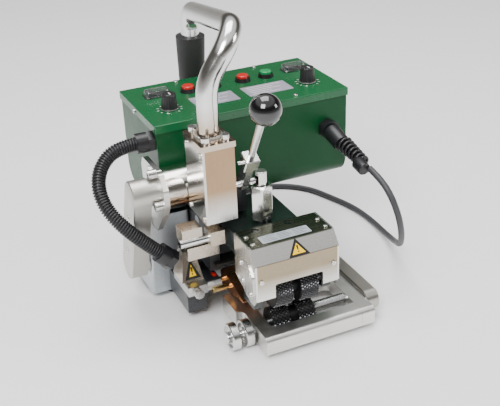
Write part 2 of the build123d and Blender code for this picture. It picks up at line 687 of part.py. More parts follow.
def make_chain():
    """Roller chain as a closed band just clear of the sprocket teeth."""
    centre = CHAIN_CASE_LEFT + COVER_THICK + 7
    x = around(centre, SPROCKET_WIDTH / 2)
    inner = SPROCKET_R + 0.4
    return stadium_x(x, inner + CHAIN_THICK - 1.0) - stadium_x((x[0] - 1, x[1] + 1), inner)


def make_sprocket(y, z):
    """Toothed wheel in the chain case."""
    centre = CHAIN_CASE_LEFT + COVER_THICK + 7
    body = rod_x(around(centre, SPROCKET_WIDTH / 2), y, z, SPROCKET_R)
    for index in range(SPROCKET_TEETH):
        angle = 2 * math.pi * index / SPROCKET_TEETH
        ty = y + (SPROCKET_R + 0.6) * math.cos(angle)
        tz = z + (SPROCKET_R + 0.6) * math.sin(angle)
        body -= rod_x(around(centre, SPROCKET_WIDTH), ty, tz, 1.9)
    return body


def make_motor_shaft():
    """Upper sprocket on the motor shaft, with the rotor inside the motor tube."""
    left = CHAIN_CASE_LEFT + COVER_THICK + 1.5
    shaft = rod_x((left, COLUMN_LEFT - 4), MOTOR_Y, MOTOR_Z, MOTOR_SHAFT_R)
    rotor_x = (MOTOR_FLANGE_LEFT + MOTOR_FLANGE_THICK + 6, COLUMN_LEFT - 5)
    rotor = rod_x(rotor_x, MOTOR_Y, MOTOR_Z, MOTOR_R - 5)
    return make_sprocket(MOTOR_Y, MOTOR_Z) + shaft + rotor


def make_lower_sprocket():
    """Lower sprocket on the cross shaft, which runs through the gear case and the beam."""
    left = CHAIN_CASE_LEFT + COVER_THICK + 1.5
    shaft = rod_x((left, COLUMN_LEFT - 1), CROSS_SHAFT_Y, CROSS_SHAFT_Z, SHAFT_R)
    return make_sprocket(CROSS_SHAFT_Y, CROSS_SHAFT_Z) + shaft


# ---- control box ------------------------------------------------------------------------------
def make_box_shell():
    """Painted steel tray with large bends along its lower edges."""
    y = (BOX_FRONT, BOX_BACK)
    z = (BOX_BOTTOM_Z, BOX_TOP_Z - BOX_WALL)
    body = cuboid((BOX_LEFT, BOX_RIGHT), y, z)
    low = edges_along(body, Axis.X, lambda c: c.Z < BOX_BOTTOM_Z + 1)
    body = fillet(low, BOX_BEND_R)
    inside = cuboid(
        (BOX_LEFT + BOX_WALL, BOX_RIGHT - BOX_WALL),
        (y[0] + BOX_WALL, y[1] - BOX_WALL),
        (z[0] + BOX_WALL, z[1] + 10),
    )
    low = edges_along(inside, Axis.X, lambda c: c.Z < BOX_BOTTOM_Z + 3)
    inside = fillet(low, BOX_BEND_R - BOX_WALL)
    body -= inside
    body -= rod_x((BOX_LEFT - 1, BOX_LEFT + 5), UPPER_GLAND[1], UPPER_GLAND[2], CONDUIT_R)
    body -= rod_y(MAINS_GLAND[0], (BOX_FRONT - 1, BOX_FRONT + 5), MAINS_GLAND[2], CONDUIT_R)
    for place in BOARD_POSTS:
        body += rod_z(place[0], place[1], (BOX_BOTTOM_Z + BOX_WALL, BOARD_Z), 3)
    return body


def make_board():
    """Circuit board on its posts, with a transformer and two relays."""
    board = cuboid((BOX_LEFT + 30, BOX_RIGHT - 30), (172, 233), (BOARD_Z, BOARD_Z + BOARD_THICK))
    top = BOARD_Z + BOARD_THICK
    board += cuboid((-10, 30), (185, 221), (top, top + 32))
    board += cuboid((50, 66), (180, 208), (top, top + 15))
    board += cuboid((72, 88), (180, 208), (top, top + 15))
    return board


def make_box_lid():
    """Lid with a short skirt all round and the cut-outs for its controls."""
    skin = BOX_WALL
    out = BOX_WALL + LID_GAP
    x = (BOX_LEFT - out, BOX_RIGHT + out)
    y = (BOX_FRONT - out, BOX_BACK + out)
    z = (BOX_TOP_Z - LID_SKIRT, BOX_TOP_Z)
    body = cuboid(x, y, z)
    body = fillet(body.edges().filter_by(Axis.Z), 1.4)
    body = fillet(body.edges().group_by(Axis.Z)[-1], 1.2)
    body -= cuboid((x[0] + skin, x[1] - skin), (y[0] + skin, y[1] - skin), (z[0] - 1, z[1] - skin))
    for px, py in KNOB_PLACES:
        body -= rod_z(px, py, (z[0], z[1] + 1), SPINDLE_R + 0.5)
    for px, py in RED_PLACES + GREEN_PLACES:
        body -= rod_z(px, py, (z[0], z[1] + 1), BUTTON_R + 0.8)
    for px, py in ROCKER_PLACES:
        half = (ROCKER_SIZE[0] / 2 + 1, ROCKER_SIZE[1] / 2 + 1)
        body -= cuboid(around(px, half[0]), around(py, half[1]), (z[0], z[1] + 1))
    for place in lid_screw_places():
        body -= small_hole(place[0], place[1])
    return body


def lid_screw_places():
    """Screws on the lid's top and its end skirts, with their directions."""
    out = BOX_WALL + LID_GAP
    top = [((x, y, BOX_TOP_Z), (0, 0, 1)) for x, y in LID_SCREW_PLACES]
    side_z = BOX_TOP_Z - 5.5
    ends = [((BOX_LEFT - out, 208.0, side_z), (-1, 0, 0)), ((BOX_RIGHT + out, 208.0, side_z), (1, 0, 0))]
    return top + ends


def make_bezels():
    """Black collars round the four push buttons."""
    rings = []
    for x, y in RED_PLACES + GREEN_PLACES:
        ring = Pos(x, y, BOX_TOP_Z + BEZEL_HEIGHT / 2) * Cone(BEZEL_R, BEZEL_R - 1.2, BEZEL_HEIGHT)
        ring += rod_z(x, y, (BOX_TOP_Z - 8, BOX_TOP_Z), BUTTON_R + 0.8)
        ring -= rod_z(x, y, (BOX_TOP_Z - 9, BOX_TOP_Z + 10), BUTTON_R + 0.2)
        rings.append(ring)
    return Compound(children=rings)


def make_button(place):
    """Push button cap, domed, with its stem."""
    x, y = place
    top = BOX_TOP_Z + BEZEL_HEIGHT + BUTTON_TRAVEL
    cap = rod_z(x, y, (BOX_TOP_Z - 4, top), BUTTON_R)
    cap = fillet(cap.edges().group_by(Axis.Z)[-1], 1.5)
    return cap + rod_z(x, y, (BOX_TOP_Z - 9, BOX_TOP_Z - 4), 3)


def make_knob(place):
    """Pointer knob with its skirt and spindle."""
    x, y = place
    base = BOX_TOP_Z + 0.6
    skirt = rod_z(x, y, (base, base + 1.2), KNOB_SKIRT_R)
    body = Pos(x, y, base + 1.2 + KNOB_HEIGHT / 2) * Cone(KNOB_R, KNOB_R - 1.6, KNOB_HEIGHT)
    body = fillet(body.edges().group_by(Axis.Z)[-1], 1.2)
    spindle = rod_z(x, y, (BOX_TOP_Z - 12, base), SPINDLE_R)
    return skirt + body + spindle


def make_rocker(place):
    """Rocker cap, tilted to its off side, on its cross pin."""
    x, y = place
    long, wide = ROCKER_SIZE
    outline = [(-long / 2, 2.0), (0, 0.5), (long / 2, 2.0), (long / 2 - 4, -7), (-long / 2 + 4, -7)]
    face = make_face(Plane.XZ * Polyline(*outline, close=True))
    body = Pos(0, wide / 2, 0) * extrude(face, amount=wide, dir=(0, -1, 0))
    return Pos(x, y, BOX_TOP_Z + 2.2) * (Rot(0, ROCKER_TILT, 0) * body)


# ---- glands, conduit, strain relief -------------------------------------------------------------
def gland_on(origin, direction, length):
    """Cable gland: hexagonal body, ribbed cap nut and a bore for the conduit."""
    plane = Plane(origin=origin, z_dir=direction)
    hexagon = RegularPolygon(GLAND_R, 6)
    body = extrude(hexagon, amount=length * 0.35)
    body += Pos(0, 0, length * 0.35 + length * 0.325) * Cylinder(GLAND_R - 1, length * 0.65)
    return plane * (body - Pos(0, 0, length / 2) * Cylinder(CONDUIT_R - 2.4, length + 2))


def make_upper_glands():
    """Conduit gland on the box's end and mains gland on its front."""
    conduit_side = gland_on(UPPER_GLAND, (-1, 0, 0), GLAND_LENGTH)
    mains_side = gland_on(MAINS_GLAND, relief_direction_flat(), GLAND_LENGTH * 0.6)
    return Compound(children=[conduit_side, mains_side])


def relief_direction_flat():
    """Square out of the box's front face."""
    return (0, -1, 0)


def make_relief():
    """Spiral strain relief: a collar, open ribs on a core, and an end collar."""
    start = Vector(MAINS_GLAND[0], MAINS_GLAND[1] - GLAND_LENGTH * 0.6, MAINS_GLAND[2] - 1.0)
    axis = Vector(*RELIEF_END) - start
    plane = Plane(origin=start, z_dir=axis)
    length = axis.length
    core = Pos(0, 0, length / 2) * Cylinder(CORD_R + 1.6, length)
    collar = Pos(0, 0, length * 0.2) * Cone(RELIEF_R, RELIEF_R * 0.93, length * 0.4)
    tail = Pos(0, 0, length - 7) * Cone(RELIEF_R * 0.76, RELIEF_R * 0.7, 14)
    body = core + collar + tail
    for index in range(RELIEF_RIBS):
        z = length * (0.46 + 0.36 * index / (RELIEF_RIBS - 1))
        body += Pos(0, 0, z) * Cylinder(RELIEF_R * (0.9 - 0.04 * index), 3.2)
    room = cuboid(around(start.X, 30), (start.Y, start.Y + 30), around(start.Z, 30))
    return plane * body - room


def lower_gland_axis():
    """Point and direction where the conduit comes into the junction cover."""
    end = Vector(*CONDUIT_POINTS[-1])
    direction = end - Vector(*CONDUIT_POINTS[-2])
    return end, direction.normalized()


def make_lower_gland():
    """Gland that holds the conduit's lower end on the junction cover."""
    end, direction = lower_gland_axis()
    foot = end + direction * GLAND_LENGTH
    return gland_on(tuple(foot), tuple(direction * -1), GLAND_LENGTH)


def make_conduit():
    """Corrugated conduit from the box to the junction cover."""
    radii = corner_radii(CONDUIT_POINTS, 0.45)
    return tube_along(CONDUIT_POINTS, radii, CONDUIT_R)


def corner_radii(points, share):
    """Arc radius at each inner point of a route."""
    triples = zip(points[:-2], points[1:-1], points[2:])
    return [bend_radius(a, b, c, share) for a, b, c in triples]


# ---- wedge carriage -----------------------------------------------------------------------------
def make_wedge_bracket():
    """Angled plate under the block with the rod's holder, and the clamp block on the rod."""
    back = BRACKET_FRONT + BRACKET_THICK
    y = (BRACKET_FRONT, back)
    plate = cuboid((-62, -50), y, (92, BLOCK_BOTTOM_Z)) + cuboid((-86, -50), y, (88, 103))
    holder = cuboid((-66, -50), (HOOK_ROD_Y - 7, BRACKET_FRONT), around(HOOK_ROD_Z, 8))
    clamp = cuboid(ROD_BLOCK_X, (HOOK_ROD_Y - 2, back), (HOOK_ROD_Z, ROD_BLOCK_TOP_Z))
    rod = rod_x((HOOK_ROD_X[0] - 1, HOOK_ROD_X[1] + 1), HOOK_ROD_Y, HOOK_ROD_Z, HOOK_ROD_R)
    return Compound(children=[plate + holder - rod, clamp - rod])


def make_pins():
    """Plain round bars: guide wheel axle, upper arm pivot, the bracket's chrome rod."""
    axle = rod_x((WHEEL_OUTER_LEFT - 2, LOWER_ARM_LEFT + AXLE_GRIP), AXLE_Y, WHEEL_R, AXLE_R)
    axle += rod_x((WHEEL_OUTER_LEFT - 3, WHEEL_OUTER_LEFT - SIDE_GAP), AXLE_Y, WHEEL_R, AXLE_R + 2)
    pivot = rod_x((COLUMN_LEFT, UPPER_ARM_RIGHT), PIVOT_Y, PIVOT_Z, PIVOT_R)
    hook = rod_x(HOOK_ROD_X, HOOK_ROD_Y, HOOK_ROD_Z, HOOK_ROD_R)
    hook -= rod_x((HOOK_ROD_X[0] - 1, HOOK_ROD_X[0] + 8), HOOK_ROD_Y, HOOK_ROD_Z, HOOK_ROD_R - 1.8)
    return Compound(children=[axle, pivot, hook])


def make_wedge_base():
    """Base plate of the carriage, with the key that runs in the rail's groove."""
    x = (WEDGE_BASE_LEFT, WEDGE_BASE_RIGHT)
    body = cuboid(x, (WEDGE_BASE_FRONT, WEDGE_BASE_BACK), (WEDGE_BASE_BOTTOM, WEDGE_BASE_TOP))
    key_z = (RAIL_TOP_Z - KEY_DEPTH + 0.3, WEDGE_BASE_BOTTOM + 1)
    return body + cuboid(around(KEY_X, KEY_HALF), (WEDGE_BASE_FRONT, WEDGE_BASE_BACK), key_z)


def make_wedge_table():
    """Insulated table beside the base plate, with a rounded front edge."""
    x = (WEDGE_BASE_RIGHT, TABLE_RIGHT)
    body = cuboid(x, (WEDGE_BASE_FRONT, TABLE_BACK), (WEDGE_BASE_BOTTOM, WEDGE_BASE_TOP))
    front = edges_along(body, Axis.X, lambda c: c.Y < WEDGE_BASE_FRONT + 1)
    body = fillet(front, 4)
    for y in BRASS_Y:
        body -= rod_x((TABLE_RIGHT - 12, TABLE_RIGHT + 1), y, NIP_Z + 1.5, BRASS_R)
    return body


def make_copper_wedge():
    """Heated wedge: blunt at the back, drawn out to a thin edge just behind the rollers."""
    back = (NIP_Z - HEATER_HALF, NIP_Z + HEATER_HALF)
    outline = [
        (HEATER_TIP_Y, NIP_Z - 0.8),
        (HEATER_TIP_Y, NIP_Z + 0.8),
        (HEATER_BACK_Y - 22, back[1]),
        (HEATER_BACK_Y, back[1]),
        (HEATER_BACK_Y, back[0]),
        (HEATER_BACK_Y - 22, back[0]),
    ]
    body = plate_x(outline, (HEATER_LEFT, HEATER_RIGHT))
    for y in BRASS_Y:
        body -= rod_x((HEATER_LEFT - 1, HEATER_RIGHT - 8), y, NIP_Z + 1.5, BRASS_R)
    return body


def make_brass_rods():
    """Heater cartridges between the table and the wedge."""
    x = (TABLE_RIGHT - 12, HEATER_RIGHT - 8)
    rods = [rod_x(x, y, NIP_Z + 1.5, BRASS_R) for y in BRASS_Y]
    return Compound(children=rods)


def make_junction_cover():
    """Small sloping cover over the heater's wiring."""
    low = Pos(-75.5, 108.5, WEDGE_BASE_TOP) * Rectangle(25, 29)
    high = Pos(-74, 113.5, WEDGE_BASE_TOP + 31) * Rectangle(13, 15)
    body = loft([low, high])
    end, direction = lower_gland_axis()
    foot = end + direction * GLAND_LENGTH
    pocket = Plane(origin=foot, z_dir=direction * -1) * Pos(0, 0, 20) * Cylinder(GLAND_R + 0.05, 40)
    return body - pocket


def make_thumb_screw():
    """Knurled screw that locks the wedge's height, on the front of the base plate."""
    z = (WEDGE_BASE_BOTTOM + WEDGE_BASE_TOP) / 2
    head = rod_y(THUMB_X, (WEDGE_BASE_FRONT - 9, WEDGE_BASE_FRONT - 1), z, THUMB_R)
    for index in range(16):
        angle = 2 * math.pi * index / 16
        x = THUMB_X + THUMB_R * math.cos(angle)
        head -= rod_y(x, (WEDGE_BASE_FRONT - 10, WEDGE_BASE_FRONT), z + THUMB_R * math.sin(angle), 0.45)
    return head + rod_y(THUMB_X, (WEDGE_BASE_FRONT - 1, WEDGE_BASE_FRONT - 0.1), z, 2)


def make_film_guide():
    """Thin dark plate that leads the upper sheet to the wedge."""
    z = (FILM_GUIDE_Z, FILM_GUIDE_Z + 3)
    left = COLUMN_INNER
    outline = [(-50, 88), (-18, 88), (-5, 108), (left, 108), (left, 93), (-50, 93)]
    return plate_z(outline, z)


# ---- upper arm ------------------------------------------------------------------------------------
def make_upper_arm():
    """Flat arm from the pivot to the roller, forked round the upper roller."""
    z = (UPPER_ARM_TOP_Z - UPPER_ARM_THICK, UPPER_ARM_TOP_Z)
    body = cuboid((UPPER_ARM_LEFT, UPPER_ARM_RIGHT), (UPPER_ARM_FRONT, PIVOT_Y + 4), z)
    body += rod_x((UPPER_ARM_LEFT, UPPER_ARM_RIGHT), PIVOT_Y, PIVOT_Z, 10)
    cheek_y = around(ROLLER_Y, 13)
    left = cuboid((UPPER_ARM_LEFT, UPPER_ARM_LEFT + CHEEK_THICK), cheek_y, (CHEEK_LOW_Z, z[1]))
    right_x = (UPPER_ARM_RIGHT + 5, UPPER_ARM_RIGHT + 5 + CHEEK_THICK)
    right = cuboid(right_x, cheek_y, (CHEEK_LOW_Z + 4, z[1]))
    bridge = cuboid((UPPER_ARM_RIGHT - 1, right_x[1]), cheek_y, z)
    body += left + right + bridge
    body -= rod_x((UPPER_ARM_LEFT - 1, right_x[1] + 1), ROLLER_Y, UPPER_ROLLER_Z, SHAFT_R + RUNNING_GAP)
    roller_room = rod_x((BAND_LEFT - 3, BAND_RIGHT + 3), ROLLER_Y, UPPER_ROLLER_Z, UPPER_ROLLER_R + 2.5)
    body -= roller_room
    body -= rod_x((UPPER_ARM_LEFT - 1, UPPER_ARM_RIGHT + 1), PIVOT_Y, PIVOT_Z, PIVOT_R + RUNNING_GAP)
    body += rod_z(NUT_X, NUT_Y, (z[1] - 1, NUT_BOTTOM_Z - 0.3), NUT_FOOT_R)
    body -= rod_z(NUT_X, NUT_Y, (z[1] - 12, NUT_BOTTOM_Z + 1), ROD_STEM_R)
    return body


def end_plate_outline():
    """Outline of the housing's end plate in (y, z)."""
    front = HOUSING_FRONT
    back = HOUSING_BACK
    low = HOUSING_TIP_Z
    return [
        (back, HOUSING_TOP_Z),
        (HOUSING_CHAMFER_Y, HOUSING_TOP_Z),
        (front, HOUSING_CHAMFER_Z),
        (front, low + 8),
        (front + 6, low),
        (front + 16, low),
        (back, low + 16),
    ]


def make_end_plates():
    """Two end plates with a raised bearing cover on the left one."""
    left = plate_x(end_plate_outline(), (HOUSING_LEFT, HOUSING_LEFT + SHEET))
    right = plate_x(end_plate_outline(), (HOUSING_RIGHT - SHEET, HOUSING_RIGHT))
    raised = plate_x(bearing_cover_outline(), (HOUSING_LEFT - 1.5, HOUSING_LEFT + 0.5))
    raised = fillet(raised.edges().filter_by(Axis.X), 5)
    left += raised
    for place in end_screw_places():
        left -= small_hole(place, (-1, 0, 0))
    return Compound(children=[left, right])


def bearing_cover_outline():
    """Raised cover of the upper roller's bearing, in (y, z)."""
    return [(34, 104), (10, 104), (1, 94), (1, 74), (8, 65), (18, 65), (34, 78)]


def end_screw_places():
    """Screws on the raised bearing cover."""
    x = HOUSING_LEFT - 1.5
    return [(x, 29.0, 99.0), (x, 6.5, 96.0), (x, 26.0, 79.0), (x, 7.5, 72.0)]


def make_housing_shell():
    """Bent stainless cover: top, chamfer and front with the window over the rollers."""
    x = (HOUSING_LEFT + SHEET, HOUSING_RIGHT - SHEET)
    outer = [
        (HOUSING_BACK, HOUSING_TOP_Z),
        (HOUSING_CHAMFER_Y, HOUSING_TOP_Z),
        (HOUSING_FRONT, HOUSING_CHAMFER_Z),
        (HOUSING_FRONT, HOUSING_SKIRT_Z),
        (HOUSING_FRONT + SHEET, HOUSING_SKIRT_Z),
        (HOUSING_FRONT + SHEET, HOUSING_CHAMFER_Z - 0.5),
        (HOUSING_CHAMFER_Y + 0.9, HOUSING_TOP_Z - SHEET),
        (HOUSING_BACK, HOUSING_TOP_Z - SHEET),
    ]
    body = plate_x(outer, x)
    window = cuboid((CUT_LEFT, CUT_RIGHT), (HOUSING_FRONT - 1, HOUSING_FRONT + SHEET + 1), (0, CUT_TOP_Z))
    window = fillet(edges_along(window, Axis.Y, lambda c: c.Z > CUT_TOP_Z - 1), 2)
    body -= window
    for hx in (-22.0, 16.0):
        body -= rod_z(hx, 41.5, (HOUSING_TOP_Z - 5, HOUSING_TOP_Z + 1), 4.5)
    for place, direction in housing_screw_places():
        body -= small_hole(place, direction)
    return body


def housing_screw_places():
    """Screws on the housing's top and front, with their directions."""
    inset = HOUSING_SCREW_INSET + SHEET
    xs = (HOUSING_LEFT + inset, HOUSING_RIGHT - inset)
    top = [((x, y, HOUSING_TOP_Z), (0, 0, 1)) for x in xs for y in (15.0, 32.0)]
    front = [((x, HOUSING_FRONT, 90.0), (0, -1, 0)) for x in xs]
    return top + front


def make_housing_screws():
    """Small screws of the roller housing."""
    screws = [small_screw(place, direction) for place, direction in housing_screw_places()]
    screws += [small_screw(place, (-1, 0, 0)) for place in end_screw_places()]
    return Compound(children=screws)


def make_pressure_rod():
    """Rod through the nut, with a cross slot in its head for the lever's eccentric pin."""
    head = rod_z(NUT_X, NUT_Y, (NUT_BOTTOM_Z + NUT_HEIGHT - 4, ROD_TOP_Z), ROD_HEAD_R)
    head = fillet(head.edges().group_by(Axis.Z)[-1], 1)
    stem = rod_z(NUT_X, NUT_Y, (UPPER_ARM_TOP_Z - 12, NUT_BOTTOM_Z + NUT_HEIGHT - 4), ROD_STEM_R)
    slot = cuboid((NUT_X - 8, NUT_X + 2), around(NUT_Y - 0.5, 4.2), around(LEVER_PIVOT_Z + 1.0, 5.2))
    return head + stem - slot


def make_spring():
    """Compression spring round the rod's stem."""
    low = NUT_BOTTOM_Z + NUT_FOOT_WALL + 1.2
    height = NUT_HEIGHT * 0.62
    coil = Helix(pitch=height / SPRING_TURNS, height=height, radius=SPRING_MEAN_R)
    profile = Plane(origin=coil @ 0, z_dir=coil % 0) * Circle(SPRING_WIRE_R)
    return Pos(NUT_X, NUT_Y, low) * sweep(profile, path=coil, is_frenet=True)


def make_pressure_nut():
    """Long hexagonal nut that sets the spring's load."""
    hexagon = Rot(0, 0, 12) * RegularPolygon(NUT_AF / 2, 6, major_radius=False)
    body = extrude(hexagon, amount=NUT_HEIGHT)
    dome = Pos(0, 0, NUT_HEIGHT / 2) * Cylinder(NUT_AF / 2 + 1.4, NUT_HEIGHT)
    ends = dome.edges().filter_by(GeomType.CIRCLE)
    body = body & chamfer(ends, 1.6, 2.6)
    body -= Pos(0, 0, NUT_HEIGHT / 2 + NUT_FOOT_WALL) * Cylinder(NUT_BORE_R, NUT_HEIGHT)
    body -= Pos(0, 0, 0) * Cylinder(ROD_STEM_R + 1.6, 8)
    return Pos(NUT_X, NUT_Y, NUT_BOTTOM_Z) * body


# ---- lever -----------------------------------------------------------------------------------------
def lever_point(reach):
    """Point on the lever's line at a distance from its shaft."""
    lean = math.radians(LEVER_LEAN)
    return (LEVER_X, NUT_Y - reach * math.cos(lean), LEVER_PIVOT_Z + reach * math.sin(lean))


def make_lever_arm():
    """Cross shaft with its eccentric pin, flat arm, clamp block and rod."""
    shaft = rod_x((BLOCK_RIGHT - 13, NUT_X - ROD_HEAD_R - 1), NUT_Y, LEVER_PIVOT_Z, LEVER_SHAFT_R)
    pin_x = (NUT_X - ROD_HEAD_R - 1.5, NUT_X + 1)
    pin = rod_x(pin_x, NUT_Y, LEVER_PIVOT_Z + ECCENTRIC_OFFSET, ECCENTRIC_R)
    tilt = Rot(90 - LEVER_LEAN, 0, 0)
    hub = rod_x(around(LEVER_X, LEVER_THICK / 2), NUT_Y, LEVER_PIVOT_Z, 7)
    plate = Pos(0, 0, LEVER_BLOCK_REACH / 2) * Box(LEVER_THICK, 13, LEVER_BLOCK_REACH)
    clamp = Pos(0, 0, LEVER_BLOCK_REACH) * Box(LEVER_BLOCK, LEVER_BLOCK, LEVER_BLOCK)
    clamp = chamfer(clamp.edges(), 1)
    end = LEVER_REACH - BALL_R + 4
    rod = Pos(0, 0, (LEVER_BLOCK_REACH + end) / 2) * Cylinder(LEVER_ROD_R, end - LEVER_BLOCK_REACH)
    arm = Pos(LEVER_X, NUT_Y, LEVER_PIVOT_Z) * (tilt * (plate + clamp + rod))
    stud = rod_x((LEVER_X - LEVER_BLOCK / 2 - 5, LEVER_X), *lever_point(LEVER_BLOCK_REACH)[1:], 2)
    return shaft + pin + hub + arm + stud


def make_ball():
    """Ball knob screwed on the lever's rod."""
    ball = Pos(*lever_point(LEVER_REACH)) * Sphere(BALL_R)
    end = LEVER_REACH - BALL_R + 4
    socket = rod_between(lever_point(end - 12), lever_point(end), LEVER_ROD_R)
    neck = rod_between(lever_point(LEVER_REACH - BALL_R - 1.5), lever_point(LEVER_REACH - 8), 6)
    return ball + neck - socket


# ---- rollers and wheels ------------------------------------------------------------------------------
def make_roller(z, radius, x):
    """Roller with two knurled bands and a spacer between them, on its shaft."""
    shaft = rod_x(x, ROLLER_Y, z, SHAFT_R)
    left = rod_x((BAND_LEFT, BAND_LEFT + BAND_WIDTH), ROLLER_Y, z, radius)
    right = rod_x((BAND_RIGHT - BAND_WIDTH, BAND_RIGHT), ROLLER_Y, z, radius)
    left = chamfer(left.edges().filter_by(GeomType.CIRCLE), 1)
    right = chamfer(right.edges().filter_by(GeomType.CIRCLE), 1)
    spacer = rod_x((BAND_LEFT, BAND_RIGHT), ROLLER_Y, z, SPACER_R)
    return shaft + spacer + left + right


def make_lower_roller():
    """Lower roller, whose shaft runs from the frame's left side to the end block."""
    x = (WINDOW_LEFT - ROLLER_BEARING + SIDE_GAP, SIDE_BAR_LEFT - PARTING_GAP - 5)
    body = make_roller(LOWER_ROLLER_Z, LOWER_ROLLER_R, x)
    return body + rod_x((BAND_RIGHT, WINDOW_RIGHT - 4), ROLLER_Y, LOWER_ROLLER_Z, SHAFT_R + 1.5)


def make_upper_roller():
    """Upper roller, whose shaft runs in the upper arm's cheeks."""
    x = (UPPER_ARM_LEFT + 1, UPPER_ARM_RIGHT + 5 + CHEEK_THICK)
    return make_roller(UPPER_ROLLER_Z, UPPER_ROLLER_R, x)


def make_wheel(left, radius):
    """Guide wheel with a recessed face."""
    x = (left, left + WHEEL_WIDTH)
    y = AXLE_Y
    body = rod_x(x, y, WHEEL_R, radius)
    body = chamfer(body.edges().filter_by(GeomType.CIRCLE), 0.8)
    body -= rod_x((x[0] - 1, x[0] + 2), y, WHEEL_R, radius - 3)
    body += rod_x(x, y, WHEEL_R, AXLE_R + 2.5)
    return body - rod_x((x[0] - 1, x[1] + 1), y, WHEEL_R, AXLE_R + RUNNING_GAP)


# ---- fasteners on the fixed body ------------------------------------------------------------------------
def make_cover_screws():
    """Small screws of the block's side cover, the chain case cover and the lid."""
    screws = [small_screw(place, (-1, 0, 0)) for place in cover_screw_places() + case_screw_places()]
    screws += [small_screw(place, direction) for place, direction in lid_screw_places()]
    return Compound(children=screws)


def make_socket_screws():
    """Cap screws of the handle flange and the motor flange."""
    screws = [socket_screw(place, (0, 0, 1), FLANGE_THICK) for place in flange_screw_places()]
    screws += [socket_screw(place, (-1, 0, 0), MOTOR_FLANGE_THICK, 9) for place in motor_flange_screws()]
    return Compound(children=screws)


# ---- mains cord -------------------------------------------------------------------------------------------
def make_cord():
    """Free mains cord from the strain relief to its coil, and the short stretch from the coil to the plug."""
    lead = tube_along(CORD_POINTS, corner_radii(CORD_POINTS, 0.45), CORD_R)
    return Compound(children=[lead, rod_x(CORD_TAIL_X, CORD_TAIL_Y, CORD_TAIL_Z, CORD_R)])


def make_coil():
    """Outer shape of the stored coil, lying on the floor."""
    centre = Pos(COIL_CENTRE[0], COIL_CENTRE[1], COIL_HEIGHT / 2)
    ring = Cylinder(COIL_OUTER_R, COIL_HEIGHT) - Cylinder(COIL_INNER_R, COIL_HEIGHT + 2)
    ring = fillet(ring.edges().filter_by(GeomType.CIRCLE), CORD_R)
    return centre * ring


def make_plug():
    """Mains plug lying beside the coil, with its tapered tail on the cord."""
    long, wide, high = PLUG_SIZE
    right = CORD_TAIL_X[0] - PLUG_TAIL_LENGTH
    body = cuboid((right - long, right), around(CORD_TAIL_Y, wide / 2), (0, high))
    body = fillet(body.edges().filter_by(Axis.X), 4)
    tail = Rot(0, 90, 0) * Cone(CORD_R + 3, CORD_R + 1.5, PLUG_TAIL_LENGTH)
    body += Pos(right + PLUG_TAIL_LENGTH / 2, CORD_TAIL_Y, CORD_TAIL_Z) * tail
    pin_x = (right - long - PLUG_PIN[0], right - long + 1)
    for side in (-PLUG_PIN_SPACING, PLUG_PIN_SPACING):
        body += rod_x(pin_x, CORD_TAIL_Y + side, CORD_TAIL_Z, PLUG_PIN[1])
    return body


def build_parts():
    """Every node of the machine in the working frame."""
    return {
        "main_frame": make_main_frame(),
        "gear_case": make_gear_case(),
        "side_bar": make_side_bar(),
        "lower_arm_frame": make_lower_arm_frame(),
        "end_block": make_end_block(),
        "rubber_feet": make_feet(),
        "block_shell": make_block_shell(),
        "block_side_cover": make_block_side_cover(),
        "carry_handle": make_handle(),
        "handle_grip": make_grip(),
        "motor_tube": make_motor_tube(),
        "motor_flange": make_motor_flange(),
        "chain_case": make_chain_case(),
        "chain_case_cover": make_chain_case_cover(),
        "drive_chain": make_chain(),
        "box_shell": make_box_shell(),
        "box_lid": make_box_lid(),
        "cover_screws": make_cover_screws(),
        "socket_screws": make_socket_screws(),
        "control_board": make_board(),
        "button_bezels": make_bezels(),
        "cable_glands": make_upper_glands(),
        "conduit": make_conduit(),
        "spiral_relief": make_relief(),
        "wedge_bracket": make_wedge_bracket(),
        "film_guide": make_film_guide(),
        "pins_and_axles": make_pins(),
        "upper_arm": make_upper_arm(),
        "housing_shell": make_housing_shell(),
        "housing_end_plates": make_end_plates(),
        "housing_screws": make_housing_screws(),
        "pressure_rod": make_pressure_rod(),
        "pressure_spring": make_spring(),
        "upper_roller": make_upper_roller(),
        "lower_roller": make_lower_roller(),
        "pressure_nut": make_pressure_nut(),
        "lever_arm": make_lever_arm(),
        "lever_knob": make_ball(),
        "guide_wheel_inner": make_wheel(WHEEL_INNER_LEFT, WHEEL_R),
        "guide_wheel_outer": make_wheel(WHEEL_OUTER_LEFT, WHEEL_R),
        "wedge_base": make_wedge_base(),
        "wedge_table": make_wedge_table(),
        "copper_wedge": make_copper_wedge(),
        "brass_rods": make_brass_rods(),
        "junction_cover": make_junction_cover(),
        "conduit_gland_lower": make_lower_gland(),
        "thumb_screw": make_thumb_screw(),
        "motor_shaft": make_motor_shaft(),
        "lower_sprocket": make_lower_sprocket(),
        "rocker_left": make_rocker(ROCKER_PLACES[0]),
        "rocker_right": make_rocker(ROCKER_PLACES[1]),
        "knob_left": make_knob(KNOB_PLACES[0]),
        "knob_right": make_knob(KNOB_PLACES[1]),
        "red_button_left": make_button(RED_PLACES[0]),
        "red_button_right": make_button(RED_PLACES[1]),
        "green_button_left": make_button(GREEN_PLACES[0]),
        "green_button_right": make_button(GREEN_PLACES[1]),
    }


def build_cord_parts():
    """The cord's nodes, already in the finished frame."""
    return {"mains_cord": make_cord(), "cord_coil": make_coil(), "mains_plug": make_plug()}


